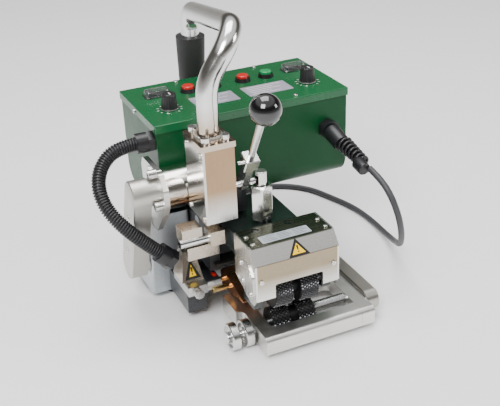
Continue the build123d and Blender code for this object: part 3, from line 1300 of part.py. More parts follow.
def main():
    os.makedirs("parts", exist_ok=True)
    to_finished = Pos(-BASE_CENTRE[0], -BASE_CENTRE[1], 0)
    parts = {name: to_finished * shape for name, shape in build_parts().items()}
    box = Compound(children=list(parts.values())).bounding_box()
    print("footprint centre off by", round(box.center().X, 2), round(box.center().Y, 2), "lowest", box.min.Z)
    print("cord bend radii", [round(r, 1) for r in corner_radii(CORD_POINTS, 0.45)])
    print("conduit bend radii", [round(r, 1) for r in corner_radii(CONDUIT_POINTS, 0.45)])
    parts.update(build_cord_parts())
    for name, shape in parts.items():
        solids = shape.solids()
        whole = solids[0] if len(solids) == 1 else Compound(children=solids)
        export_step(whole, f"parts/{name}.step")


if __name__ == "__main__":
    main()
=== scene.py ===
"""Looks of a hot-wedge seam welder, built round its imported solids."""

import logging
import math
from dataclasses import dataclass
from enum import Enum

import bmesh
import bpy
from mathutils import Matrix, Vector


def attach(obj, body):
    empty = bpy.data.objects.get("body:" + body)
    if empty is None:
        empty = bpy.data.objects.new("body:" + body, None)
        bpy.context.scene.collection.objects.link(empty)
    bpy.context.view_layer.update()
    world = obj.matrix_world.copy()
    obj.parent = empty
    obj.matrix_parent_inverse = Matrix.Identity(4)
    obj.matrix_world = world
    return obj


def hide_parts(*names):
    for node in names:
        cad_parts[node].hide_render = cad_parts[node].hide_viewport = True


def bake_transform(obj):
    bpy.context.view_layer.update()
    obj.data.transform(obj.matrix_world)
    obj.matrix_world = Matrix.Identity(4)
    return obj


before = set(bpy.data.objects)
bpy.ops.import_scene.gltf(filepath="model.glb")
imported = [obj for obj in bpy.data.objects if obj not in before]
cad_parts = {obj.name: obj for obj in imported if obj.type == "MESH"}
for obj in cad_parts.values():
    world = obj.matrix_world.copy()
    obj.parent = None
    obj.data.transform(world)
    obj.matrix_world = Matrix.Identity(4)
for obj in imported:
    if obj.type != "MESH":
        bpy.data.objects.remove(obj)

LOG = logging.getLogger("seam_welder")
MM = 0.001
ACROSS = Vector((1, 0, 0))
BLACK = (0.0, 0.0, 0.0, 1.0)
SMOOTH_BELOW = math.radians(35)
FLOOR_HALF_WIDTH = 8.0
FOOTPRINT_CENTRE = (-8.47, 141.6)
NODES: dict[str, bpy.types.Object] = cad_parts

Point = tuple[float, float, float]
Outline = list[tuple[float, float]]
Socket = bpy.types.NodeSocket


def place(x: float, y: float, z: float) -> Vector:
    """Point of the machine, given beside the rollers in millimetres, in the row frame.

    Args:
        x: Millimetres along the rollers.
        y: Millimetres behind the nose.
        z: Millimetres above the floor.

    Returns:
        The point in metres.
    """
    return Vector(((x - FOOTPRINT_CENTRE[0]) * MM, (y - FOOTPRINT_CENTRE[1]) * MM, z * MM))


# ---- node trees -------------------------------------------------------------------------------
class Nodes:
    """Short way to write shader and geometry node trees."""

    def __init__(self, tree: bpy.types.NodeTree) -> None:
        """Wrap a tree.

        Args:
            tree: The node tree to fill.
        """
        self.tree = tree

    def add(self, kind: str, inputs: dict | None = None, **settings) -> bpy.types.Node:
        """Add a node.

        Args:
            kind: Node type.
            inputs: Socket name or number to a value or to a socket to link from.
            settings: Attributes of the node.

        Returns:
            The new node.
        """
        node = self.tree.nodes.new(kind)
        for key, value in settings.items():
            setattr(node, key, value)
        for key, value in (inputs or {}).items():
            self.put(node.inputs[key], value)
        return node

    def put(self, socket: Socket, value) -> None:
        """Set a socket, or link another one into it.

        Args:
            socket: The input socket.
            value: A plain value or an output socket.
        """
        if isinstance(value, Socket):
            self.tree.links.new(value, socket)
        else:
            socket.default_value = value

    def math(self, operation: str, first, second=0.0) -> Socket:
        """Add a Math node.

        Args:
            operation: Its operation.
            first: First value or socket.
            second: Second value or socket.

        Returns:
            The result's socket.
        """
        return self.add("ShaderNodeMath", {0: first, 1: second}, operation=operation).outputs[0]

    def span(self, value, low: float, high: float, to_low: float, to_high: float) -> Socket:
        """Map one range to another, clamped.

        Args:
            value: Socket to map.
            low: Start of its range.
            high: End of its range.
            to_low: Result at the start.
            to_high: Result at the end.

        Returns:
            The result's socket.
        """
        pins = {0: value, 1: low, 2: high, 3: to_low, 4: to_high}
        return self.add("ShaderNodeMapRange", pins).outputs[0]

    def circle(self, sides: int, radius: Socket) -> Socket:
        """Add a circle of a set number of sides.

        Args:
            sides: Number of sides.
            radius: Socket of its radius.

        Returns:
            The curve's socket.
        """
        pins = {"Resolution": sides, "Radius": radius}
        return self.add("GeometryNodeCurvePrimitiveCircle", pins).outputs[0]

    def mix(self, factor, first, second) -> Socket:
        """Mix two colours.

        Args:
            factor: Share of the second.
            first: Colour or socket.
            second: Colour or socket.

        Returns:
            The mixed colour's socket.
        """
        pins = {0: factor, 6: first, 7: second}
        return self.add("ShaderNodeMix", pins, data_type="RGBA").outputs[2]


RING_SIDES = 32
WIRE_SIDES = 8


class Grain(Enum):
    """Direction in which a surface was brushed or drawn, as stretch of its pattern."""

    EVEN = (1.0, 1.0, 1.0)
    ALONG_X = (0.04, 1.0, 1.0)
    ALONG_Y = (1.0, 0.04, 1.0)
    ALONG_Z = (1.0, 1.0, 0.04)


@dataclass(frozen=True)
class Fade:
    """Second colour that takes over between two places, in metres, on one or two axes."""

    colour: Point
    spans: tuple[tuple[int, float, float], ...]


@dataclass(frozen=True)
class Finish:
    """A surface finish with fine grain, broad smudges and an optional fade between two colours."""

    colour: Point
    metal: float = 0.0
    rough: float = 0.4
    rough_play: float = 0.08
    tone_play: float = 0.08
    grain: Grain = Grain.EVEN
    grain_size: float = 900.0
    bump: float = 0.05
    coat: float = 0.0
    clear: float = 0.0
    fades: tuple[Fade, ...] = ()
    specks: float = 0.0
    specular: float = 0.5

    def make(self, name: str) -> bpy.types.Material:
        """Build the material.

        Args:
            name: Its name.

        Returns:
            The material.
        """
        material = bpy.data.materials.new(name)
        material.use_nodes = True
        nodes = Nodes(material.node_tree)
        shader = material.node_tree.nodes["Principled BSDF"]
        where = nodes.add("ShaderNodeTexCoord").outputs["Object"]
        stretched = nodes.add("ShaderNodeMapping", {"Vector": where, "Scale": self.grain.value}).outputs[0]
        pins = {"Vector": stretched, "Scale": self.grain_size, "Detail": 6.0}
        fine = nodes.add("ShaderNodeTexNoise", pins)
        broad = nodes.add("ShaderNodeTexNoise", {"Vector": where, "Scale": 38.0, "Detail": 4.0})
        fine, broad = fine.outputs[0], broad.outputs[0]
        base = self.faded(nodes, where)
        tone = nodes.math("ADD", nodes.math("MULTIPLY", fine, 0.5), nodes.math("MULTIPLY", broad, 0.5))
        shaded = nodes.mix(nodes.span(tone, 0.35, 0.65, 0.0, self.tone_play), base, BLACK)
        if self.specks:
            spots = nodes.add("ShaderNodeTexVoronoi", {"Vector": where, "Scale": 1400.0})
            share = nodes.span(spots.outputs[0], 0.0, 0.3, self.specks, 0.0)
            shaded = nodes.mix(share, shaded, (0.9, 0.9, 0.95, 1.0))
        nodes.put(shader.inputs["Base Color"], shaded)
        low = max(self.rough - self.rough_play, 0.02)
        high = self.rough + self.rough_play
        nodes.put(shader.inputs["Roughness"], nodes.span(tone, 0.35, 0.65, low, high))
        pins = {"Strength": self.bump, "Distance": 0.0004, "Height": fine}
        nodes.put(shader.inputs["Normal"], nodes.add("ShaderNodeBump", pins).outputs[0])
        shader.inputs["Metallic"].default_value = self.metal
        shader.inputs["Specular IOR Level"].default_value = self.specular
        shader.inputs["Coat Weight"].default_value = self.coat
        shader.inputs["Coat Roughness"].default_value = 0.08
        shader.inputs["Transmission Weight"].default_value = self.clear
        return material

    def faded(self, nodes: Nodes, where: Socket) -> Socket | tuple:
        """Base colour with every fade of the finish.

        Args:
            nodes: The material's nodes.
            where: Object coordinates.

        Returns:
            A colour, or the socket of the last fade.
        """
        colour = (*self.colour, 1.0)
        axes = nodes.add("ShaderNodeSeparateXYZ", {0: where}).outputs
        for fade in self.fades:
            share = 1.0
            for axis, start, end in fade.spans:
                share = nodes.math("MULTIPLY", nodes.span(axes[axis], start, end, 0.0, 1.0), share)
            colour = nodes.mix(share, colour, (*fade.colour, 1.0))
        return colour


CHROMED = Finish((0.86, 0.86, 0.86), 1.0, 0.14, 0.03, 0.05, bump=0.002, grain_size=300.0)
WHEEL_CHROME = Finish((0.78, 0.78, 0.77), 1.0, 0.24, 0.04, 0.05, bump=0.002, grain_size=300.0)
SATIN_ALLOY = Finish((0.78, 0.77, 0.74), 1.0, 0.36, 0.07, 0.10, Grain.ALONG_X, bump=0.05)
BRIGHT_STEEL = Finish((0.80, 0.79, 0.77), 1.0, 0.22, 0.06, 0.08)
BLACK_NYLON = Finish((0.012, 0.012, 0.014), 0.0, 0.36, 0.06, 0.2, bump=0.06)
BLACK_RUBBER = Finish((0.018, 0.018, 0.018), 0.0, 0.55, 0.08, 0.2, bump=0.15)
RED_PLASTIC = Finish((0.62, 0.012, 0.010), 0.0, 0.28, coat=0.3)
GREEN_PLASTIC = Finish((0.010, 0.30, 0.09), 0.0, 0.28, coat=0.3)
YELLOW_SIGN = Finish((1.0, 0.62, 0.0), 0.0, 0.5, 0.05, 0.05, bump=0.01, specular=0.1)
BLACK_INK = Finish((0.01, 0.01, 0.01), 0.0, 0.4, 0.05, 0.05, bump=0.01)
WHITE_INK = Finish((0.85, 0.86, 0.84), 0.0, 0.5, 0.05, 0.05, bump=0.01)
CLEAR_PLASTIC = Finish((0.93, 0.95, 0.96), 0.0, 0.06, 0.02, 0.02, bump=0.002, grain_size=200.0, clear=0.97)
STEEL_GREY = Finish((0.55, 0.56, 0.57), 1.0, 0.3)

CAD_FINISHES: dict[str, Finish] = {
    "main_frame": Finish((0.030, 0.032, 0.036), 0.0, 0.32, 0.08, 0.2, bump=0.08, coat=0.2),
    "gear_case": Finish((0.60, 0.64, 0.67), 0.9, 0.42, 0.08, 0.12, bump=0.12, grain_size=420.0),
    "side_bar": Finish((0.46, 0.44, 0.40), 1.0, 0.34, 0.07, 0.1, Grain.ALONG_Y),
    "lower_arm_frame": SATIN_ALLOY,
    "end_block": SATIN_ALLOY,
    "rubber_feet": BLACK_RUBBER,
    # Painted reflection: the brown fade on the upper part of the block's front face stands in for
    # surroundings mirrored in the steel.
    "block_shell": Finish((0.74, 0.73, 0.71), 1.0, 0.24, 0.05, 0.08, Grain.ALONG_Z, fades=(
        Fade((0.40, 0.27, 0.16), ((1, -0.0940, -0.0952), (2, 0.148, 0.176))),)),
    "block_side_cover": Finish((0.70, 0.67, 0.62), 1.0, 0.14, 0.04, 0.05, bump=0.01),
    # Painted reflection: the brownish fade towards the handle's foot stands in for surroundings mirrored in
    # the chrome.
    "carry_handle": Finish((0.86, 0.85, 0.84), 1.0, 0.17, 0.06, 0.06, bump=0.01, fades=(
        Fade((0.62, 0.52, 0.42), ((2, 0.262, 0.240),)),)),
    "handle_grip": BLACK_RUBBER,
    # Painted reflection: the brown band on the tube's lower half and the greyer strip at its very bottom
    # stand in for surroundings mirrored in the steel.
    "motor_tube": Finish((0.80, 0.78, 0.75), 1.0, 0.17, 0.05, 0.08, Grain.ALONG_X, bump=0.02, fades=(
        Fade((0.46, 0.33, 0.22), ((2, 0.162, 0.150),)),
        Fade((0.70, 0.69, 0.67), ((2, 0.144, 0.138),)))),
    "motor_flange": Finish((0.78, 0.77, 0.75), 1.0, 0.33, 0.06, 0.08),
    "chain_case": Finish((0.62, 0.60, 0.56), 1.0, 0.40, 0.06, 0.08),
    "chain_case_cover": Finish((0.60, 0.59, 0.55), 1.0, 0.42, 0.06, 0.08),
    "drive_chain": STEEL_GREY,
    "box_shell": Finish((0.003, 0.062, 0.018), 0.0, 0.34, 0.05, 0.12, bump=0.02, grain_size=300.0,
                        specular=0.22),
    "box_lid": Finish((0.005, 0.105, 0.032), 0.0, 0.30, 0.05, 0.12, bump=0.02, grain_size=300.0, coat=0.2,
                      specular=0.4),
    "cover_screws": BRIGHT_STEEL,
    "socket_screws": BRIGHT_STEEL,
    "housing_screws": BRIGHT_STEEL,
    "control_board": Finish((0.02, 0.16, 0.06), 0.0, 0.4, coat=0.2),
    "button_bezels": Finish((0.012, 0.012, 0.012), 0.0, 0.3, coat=0.2),
    "cable_glands": BLACK_NYLON,
    "conduit_gland_lower": BLACK_NYLON,
    "wedge_bracket": Finish((0.60, 0.52, 0.43), 1.0, 0.28, 0.06, 0.1),
    "film_guide": Finish((0.05, 0.05, 0.045), 0.6, 0.35),
    "pins_and_axles": CHROMED,
    "upper_arm": Finish((0.012, 0.020, 0.017), 0.0, 0.22, 0.06, 0.2, coat=0.5),
    # Painted reflections: the dark olive top and the brown upper part of the front face stand in for
    # surroundings mirrored in the steel.
    "housing_shell": Finish((0.78, 0.77, 0.73), 1.0, 0.27, 0.06, 0.1, Grain.ALONG_X, fades=(
        Fade((0.13, 0.135, 0.10), ((2, 0.1226, 0.1236),)),
        Fade((0.36, 0.29, 0.20), ((1, -0.1442, -0.1450), (2, 0.070, 0.092))))),
    "housing_end_plates": Finish((0.78, 0.77, 0.74), 1.0, 0.27, 0.05, 0.08, Grain.ALONG_Z),
    "pressure_rod": BRIGHT_STEEL,
    "pressure_spring": STEEL_GREY,
    "pressure_nut": Finish((0.84, 0.83, 0.81), 1.0, 0.15, 0.05, 0.06),
    "lever_arm": Finish((0.82, 0.81, 0.80), 1.0, 0.18, 0.05, 0.06),
    "lever_knob": Finish((0.004, 0.004, 0.005), 0.0, 0.10, 0.03, 0.1, bump=0.005, coat=1.0),
    "guide_wheel_inner": WHEEL_CHROME,
    "guide_wheel_outer": WHEEL_CHROME,
    "wedge_base": Finish((0.80, 0.79, 0.77), 1.0, 0.3, 0.06, 0.08),
    "wedge_table": Finish((0.10, 0.11, 0.12), 0.9, 0.32, fades=(
        Fade((0.80, 0.79, 0.77), ((1, -0.0565, -0.0580),)),)),
    "copper_wedge": Finish((0.80, 0.40, 0.22), 1.0, 0.3, 0.08, 0.2),
    "brass_rods": Finish((0.80, 0.56, 0.22), 1.0, 0.22),
    "junction_cover": Finish((0.60, 0.52, 0.44), 1.0, 0.2, 0.05, 0.08),
    "thumb_screw": BRIGHT_STEEL,
    "motor_shaft": STEEL_GREY,
    "lower_sprocket": STEEL_GREY,
    "rocker_left": Finish((0.02, 0.02, 0.02), 0.0, 0.3, coat=0.2),
    "rocker_right": Finish((0.02, 0.02, 0.02), 0.0, 0.3, coat=0.2),
    "red_button_left": RED_PLASTIC,
    "red_button_right": RED_PLASTIC,
    "green_button_left": GREEN_PLASTIC,
    "green_button_right": GREEN_PLASTIC,
    "mains_plug": Finish((0.02, 0.02, 0.022), 0.0, 0.42, bump=0.1),
}


# ---- mesh helpers -----------------------------------------------------------------------------
def mesh_piece(
    name: str, shape: bmesh.types.BMesh, material: bpy.types.Material, smooth: bool
) -> bpy.types.Object:
    """Object at the origin from a bmesh in the row frame.

    Args:
        name: Piece name.
        shape: The shape, freed here.
        material: Its material.
        smooth: Whether its faces are shaded smooth below 35 degrees.

    Returns:
        The object.
    """
    bmesh.ops.recalc_face_normals(shape, faces=shape.faces)
    mesh = bpy.data.meshes.new(name)
    shape.to_mesh(mesh)
    shape.free()
    mesh.materials.append(material)
    piece = bpy.data.objects.new(name, mesh)
    bpy.context.scene.collection.objects.link(piece)
    if smooth:
        mesh.shade_smooth()
        mesh.set_sharp_from_angle(angle=SMOOTH_BELOW)
    return piece


def bar(x: float, y: float, long: float, wide: float) -> Outline:
    """Corners of a plain bar.

    Args:
        x: Left end.
        y: Lower edge.
        long: Size along X.
        wide: Size along Y.

    Returns:
        The corners, anticlockwise.
    """
    return [(x, y), (x + long, y), (x + long, y + wide), (x, y + wide)]


def lifted(plane: Matrix, height: float) -> Matrix:
    """The same frame further out of the surface.

    Args:
        plane: The frame.
        height: Millimetres.

    Returns:
        The moved frame.
    """
    return plane @ Matrix.Translation((0, 0, height * MM))


def add_prism(shape: bmesh.types.BMesh, outline: Outline, plane: Matrix, height: float) -> None:
    """Add a flat plate to a bmesh.

    Args:
        shape: Where it goes.
        outline: Corners in the plane, in millimetres, anticlockwise.
        plane: Plane's frame in metres.
        height: Thickness above the plane in millimetres.
    """
    low = [shape.verts.new(plane @ Vector((x * MM, y * MM, 0))) for x, y in outline]
    top = [shape.verts.new(plane @ Vector((x * MM, y * MM, height * MM))) for x, y in outline]
    shape.faces.new(list(reversed(low)))
    shape.faces.new(top)
    count = len(outline)
    for i in range(count):
        j = (i + 1) % count
        shape.faces.new((low[i], low[j], top[j], top[i]))


def add_revolved(
    shape: bmesh.types.BMesh, profile: Outline, plane: Matrix, segments: int = 48
) -> None:
    """Add a closed turned shape about the plane's Z axis.

    Args:
        shape: Where it goes.
        profile: (height, radius) pairs in millimetres, from one pole to the other.
        plane: Frame of the axis in metres.
        segments: Steps round the axis.
    """
    rings = []
    for height, radius in profile:
        turns = [2 * math.pi * i / segments for i in range(segments)]
        ring = [Vector((radius * math.cos(t), radius * math.sin(t), height)) * MM for t in turns]
        rings.append([shape.verts.new(plane @ point) for point in ring])
    for low, high in zip(rings[:-1], rings[1:]):
        for i in range(segments):
            j = (i + 1) % segments
            shape.faces.new((low[i], low[j], high[j], high[i]))
    shape.faces.new(list(reversed(rings[0])))
    shape.faces.new(rings[-1])


def turned(start: float, end: float, radius: float, along: float, drop: float) -> Outline:
    """Profile of a turned length with a bevel at both ends.

    Args:
        start: Its start along the axis.
        end: Its end.
        radius: Its radius.
        along: Bevel along the axis.
        drop: Bevel off the radius.

    Returns:
        (height, radius) pairs.
    """
    low = radius - drop
    return [(start, low), (start + along, radius), (end - along, radius), (end, low)]


def plane_at(origin: Vector, across: Vector, up: Vector) -> Matrix:
    """Frame with X across, Y up and Z out of the surface.

    Args:
        origin: Its origin.
        across: Direction of X.
        up: Rough direction of Y.

    Returns:
        The frame as a matrix.
    """
    x = across.normalized()
    z = x.cross(up).normalized()
    y = z.cross(x)
    return Matrix.Translation(origin) @ Matrix((x, y, z)).transposed().to_4x4()


def rounded_outline(width: float, depth: float, radius: float, steps: int = 5) -> Outline:
    """Corners of a rounded rectangle about its centre.

    Args:
        width: Size along X.
        depth: Size along Y.
        radius: Corner radius.
        steps: Steps in each corner.

    Returns:
        The corners, anticlockwise.
    """
    points = []
    for index, (sx, sy) in enumerate(((1, 1), (-1, 1), (-1, -1), (1, -1))):
        for step in range(steps + 1):
            turn = math.radians(90 * (index + step / steps))
            x = sx * (width / 2 - radius) + radius * math.cos(turn)
            y = sy * (depth / 2 - radius) + radius * math.sin(turn)
            points.append((x, y))
    return points


def settle(piece: bpy.types.Object, body: str, replaced: tuple[str, ...] = ()) -> bpy.types.Object:
    """Tie a finished piece to its body.

    Args:
        piece: The piece.
        body: Body it rides on.
        replaced: CAD nodes it stands for.

    Returns:
        The piece.
    """
    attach(piece, body)
    if replaced:
        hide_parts(*replaced)
    LOG.info("%s rides on %s", piece.name, body)
    return piece


# ---- geometry node trees ----------------------------------------------------------------------
class Pattern:
    """A geometry node tree with named inputs, run once on a host mesh."""

    def __init__(self, name: str, inputs: dict[str, str]) -> None:
        """Make the empty tree.

        Args:
            name: Tree name.
            inputs: Input name to socket type.
        """
        self.tree = bpy.data.node_groups.new(name, "GeometryNodeTree")
        for way in ("INPUT", "OUTPUT"):
            self.tree.interface.new_socket(name="Geometry", in_out=way, socket_type="NodeSocketGeometry")
        self.keys = {}
        for label, kind in inputs.items():
            socket = self.tree.interface.new_socket(name=label, in_out="INPUT", socket_type=kind)
            self.keys[label] = socket.identifier
        self.nodes = Nodes(self.tree)
        self.given = self.nodes.add("NodeGroupInput").outputs

    def close(self, geometry: Socket) -> None:
        """Realize, set the material and end the tree.

        Args:
            geometry: The last geometry socket.
        """
        real = self.nodes.add("GeometryNodeRealizeInstances", {0: geometry})
        pins = {0: real.outputs[0], "Material": self.given["Material"]}
        dressed = self.nodes.add("GeometryNodeSetMaterial", pins)
        self.nodes.add("NodeGroupOutput", {0: dressed.outputs[0]})

    def run(self, name: str, host: bpy.types.Mesh, values: dict[str, object]) -> bpy.types.Object:
        """Run the tree on a mesh and keep the result as a plain mesh.

        Args:
            name: Name of the new piece.
            host: Mesh the tree starts from.
            values: Input name to value.

        Returns:
            The new object.
        """
        carrier = bpy.data.objects.new(name + "_carrier", host)
        bpy.context.scene.collection.objects.link(carrier)
        modifier = carrier.modifiers.new("pattern", "NODES")
        modifier.node_group = self.tree
        for label, value in values.items():
            modifier[self.keys[label]] = value
        depsgraph = bpy.context.evaluated_depsgraph_get()
        mesh = bpy.data.meshes.new_from_object(carrier.evaluated_get(depsgraph), depsgraph=depsgraph)
        mesh.name = name
        bpy.data.objects.remove(carrier)
        piece = bpy.data.objects.new(name, mesh)
        bpy.context.scene.collection.objects.link(piece)
        return piece


def rings_pattern() -> Pattern:
    """Tree that puts rings along a line round a core, tapering to its end.

    Returns:
        The pattern.
    """
    number = "NodeSocketFloat"
    pattern = Pattern("rings_on_a_line", {
        "Pitch": number, "Ring radius": number, "Wire radius": number, "Core radius": number,
        "End scale": number, "Material": "NodeSocketMaterial",
    })
    nodes, given = pattern.nodes, pattern.given
    line = nodes.add("GeometryNodeMeshToCurve", {0: given["Geometry"]}).outputs[0]
    dots = nodes.add("GeometryNodeCurveToPoints", {"Curve": line, "Length": given["Pitch"]}, mode="LENGTH")
    centre = nodes.circle(RING_SIDES, given["Ring radius"])
    wire = nodes.circle(WIRE_SIDES, given["Wire radius"])
    ring = nodes.add("GeometryNodeCurveToMesh", {0: centre, 1: wire})
    pins = {0: dots.outputs[0]}
    count = nodes.add("GeometryNodeAttributeDomainSize", pins, component="POINTCLOUD").outputs[0]
    share = nodes.math("DIVIDE", nodes.add("GeometryNodeInputIndex").outputs[0], count)
    drop = nodes.math("SUBTRACT", given["End scale"], 1.0)
    scale = nodes.math("ADD", nodes.math("MULTIPLY", share, drop), 1.0)
    size = nodes.add("ShaderNodeCombineXYZ", {0: scale, 1: scale, 2: 1.0}).outputs[0]
    pins = {"Points": dots.outputs[0], "Instance": ring.outputs[0], "Scale": size}
    pins["Rotation"] = dots.outputs["Rotation"]
    rings = nodes.add("GeometryNodeInstanceOnPoints", pins).outputs[0]
    section = nodes.circle(RING_SIDES, given["Core radius"])
    core = nodes.add("GeometryNodeCurveToMesh", {0: line, 1: section, "Fill Caps": True}).outputs[0]
    joined = nodes.add("GeometryNodeJoinGeometry")
    nodes.put(joined.inputs[0], rings)
    nodes.put(joined.inputs[0], core)
    pattern.close(joined.outputs[0])
    return pattern


def knurl_pattern() -> Pattern:
    """Tree that covers a roller band with small pyramids in staggered columns.

    Returns:
        The pattern.
    """
    number = "NodeSocketFloat"
    pattern = Pattern("knurled_band", {
        "Columns": "NodeSocketInt", "Teeth": "NodeSocketInt", "Spacing": number, "Radius": number,
        "Tooth width": number, "Tooth height": number, "Left end": "NodeSocketVector",
        "Material": "NodeSocketMaterial",
    })
    nodes, given = pattern.nodes, pattern.given
    total = nodes.math("MULTIPLY", given["Columns"], given["Teeth"])
    dots = nodes.add("GeometryNodeMeshLine", {"Count": total})
    index = nodes.add("GeometryNodeInputIndex").outputs[0]
    column = nodes.math("FLOOR", nodes.math("DIVIDE", index, given["Teeth"]))
    row = nodes.math("MODULO", index, given["Teeth"])
    stagger = nodes.math("MULTIPLY", nodes.math("MODULO", column, 2.0), 0.5)
    step = nodes.math("DIVIDE", nodes.math("ADD", row, stagger), given["Teeth"])
    turn = nodes.math("MULTIPLY", step, 2 * math.pi)
    cosine, sine = nodes.math("COSINE", turn), nodes.math("SINE", turn)
    out = nodes.add("ShaderNodeCombineXYZ", {0: 0.0, 1: cosine, 2: sine}).outputs[0]
    ys, zs = nodes.math("MULTIPLY", cosine, given["Radius"]), nodes.math("MULTIPLY", sine, given["Radius"])
    along = nodes.math("MULTIPLY", column, given["Spacing"])
    spot = nodes.add("ShaderNodeCombineXYZ", {0: along, 1: ys, 2: zs}).outputs[0]
    moved = nodes.add("ShaderNodeVectorMath", {0: spot, 1: given["Left end"]}, operation="ADD").outputs[0]
    placed = nodes.add("GeometryNodeSetPosition", {0: dots.outputs[0], "Position": moved}).outputs[0]
    pins = {"Vertices": 4, "Radius Top": 0.0, "Radius Bottom": given["Tooth width"]}
    pins["Depth"] = given["Tooth height"]
    tooth = nodes.add("GeometryNodeMeshCone", pins).outputs[0]
    turned = nodes.add("FunctionNodeAlignRotationToVector", {"Vector": out}, axis="Z").outputs[0]
    pins = {"Points": placed, "Instance": tooth, "Rotation": turned}
    pattern.close(nodes.add("GeometryNodeInstanceOnPoints", pins).outputs[0])
    return pattern


def smooth_line(points: list[Vector]) -> bpy.types.Mesh:
    """Mesh line along a smooth curve through the neighbourhood of some points.

    Args:
        points: Control points.

    Returns:
        A mesh of edges.
    """
    curve = nurbs_curve("line", points)
    holder = bpy.data.objects.new("line", curve)
    bpy.context.scene.collection.objects.link(holder)
    depsgraph = bpy.context.evaluated_depsgraph_get()
    mesh = bpy.data.meshes.new_from_object(holder.evaluated_get(depsgraph), depsgraph=depsgraph)
    bpy.data.objects.remove(holder)
    return mesh


def nurbs_curve(name: str, points: list[Vector]) -> bpy.types.Curve:
    """Smooth open curve with the points as its control points.

    Args:
        name: Curve name.
        points: Control points in metres.

    Returns:
        The curve data.
    """
    curve = bpy.data.curves.new(name, "CURVE")
    curve.dimensions = "3D"
    curve.resolution_u = 10
    spline = curve.splines.new("NURBS")
    spline.points.add(len(points) - 1)
    for spot, point in zip(spline.points, points):
        spot.co = (*point, 1.0)
    spline.order_u = 3
    spline.use_endpoint_u = True
    return curve


# ---- mains cord -------------------------------------------------------------------------------
@dataclass
class MainsCord:
    """Free mains cord: from the strain relief down to the floor and into its coil and plug."""

    radius: float = 3.6
    coil_centre: tuple[float, float] = (112.0, 254.0)
    coil_outer: float = 51.0
    coil_inner: float = 28.8
    layers: tuple[float, float] = (3.9, 11.3)
    turns: int = 4
    points_per_turn: int = 16
    route: tuple[Point, ...] = (
        (133.47, -85.6, 155.0), (135.353, -106.89, 149.786), (138.9, -122.7, 135.0), (144.4, -128.2, 114.4),
        (152.3, -123.4, 92.3), (168.3, -101.4, 63.1), (185.1, -74.2, 39.1), (201.9, -40.6, 20.6),
        (214.8, 1.3, 7.7), (221.5, 44.9, 4.0), (219.5, 88.9, 4.0), (206.5, 130.9, 4.0),
        (194.0, 166.0, 4.0), (172.0, 190.0, 4.0), (150.0, 201.5, 4.0), (131.0, 205.4, 4.0),
    )
    tail: tuple[Point, ...] = ((103.0, 203.0, 11.3), (92.0, 203.0, 11.3), (78.0, 203.0, 11.3))

    def points(self) -> list[Vector]:
        """Control points of the whole cord.

        Returns:
            Points in metres.
        """
        return [Vector(p) * MM for p in (*self.route, *self.coiled(), *self.tail)]

    def coiled(self) -> list[Point]:
        """Points of the coil's turns: inwards on the floor, then outwards on top.

        Returns:
            Points in millimetres.
        """
        spots = []
        total = self.turns * self.points_per_turn
        for layer, height in enumerate(self.layers):
            for step in range(1 if layer == 0 else 2, total + 1):
                share = step / total
                far = self.coil_outer, self.coil_inner
                start, end = far if layer == 0 else far[::-1]
                radius = (start + (end - start) * share) * 1.012
                turn = -math.pi / 2 - 2 * math.pi * share * self.turns
                x = self.coil_centre[0] + radius * math.cos(turn)
                y = self.coil_centre[1] + radius * math.sin(turn)
                spots.append((x, y, height))
        return spots

    def build(self) -> None:
        points = self.points()
        line = smooth_line(points)
        curve = nurbs_curve("mains_cord_flex", points)
        curve.bevel_depth = self.radius * MM
        curve.bevel_resolution = 5
        curve.use_fill_caps = True
        finish = Finish((0.045, 0.045, 0.050), 0.0, 0.5, 0.06, 0.15, bump=0.08)
        curve.materials.append(finish.make("cord_sheath"))
        flex = bpy.data.objects.new("mains_cord_flex", curve)
        bpy.context.scene.collection.objects.link(flex)
        settle(flex, "machine", ("mains_cord", "cord_coil"))


# ---- flexible parts ---------------------------------------------------------------------------
@dataclass
class Conduit:
    """Corrugated conduit from the box to the wedge's junction cover."""

    pitch: float = 2.9
    outer: float = 7.9
    wire: float = 1.15
    route: tuple[Point, ...] = (
        (-104.0, 156.0, 196.5), (-127.0, 156.0, 196.5), (-147.0, 150.0, 185.0), (-157.5, 137.0, 169.0),
        (-156.5, 124.0, 150.0), (-147.0, 112.0, 133.0), (-130.0, 104.0, 113.0), (-107.0, 100.7, 90.0),
    )

    def build(self, rings: Pattern) -> None:
        """Make the corrugated tube.

        Args:
            rings: Tree that puts rings on a line.
        """
        line = smooth_line([place(*p) for p in self.route])
        tube = rings.run("conduit_tube", line, {
            "Pitch": self.pitch * MM, "Ring radius": (self.outer - self.wire) * MM,
            "Wire radius": self.wire * MM, "Core radius": (self.outer - 1.5 * self.wire) * MM,
            "End scale": 1.0,
            "Material": BLACK_NYLON.make("conduit_nylon"),
        })
        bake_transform(tube)
        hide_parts("conduit")
        LOG.info("%s bends between machine and wedge_carriage", tube.name)


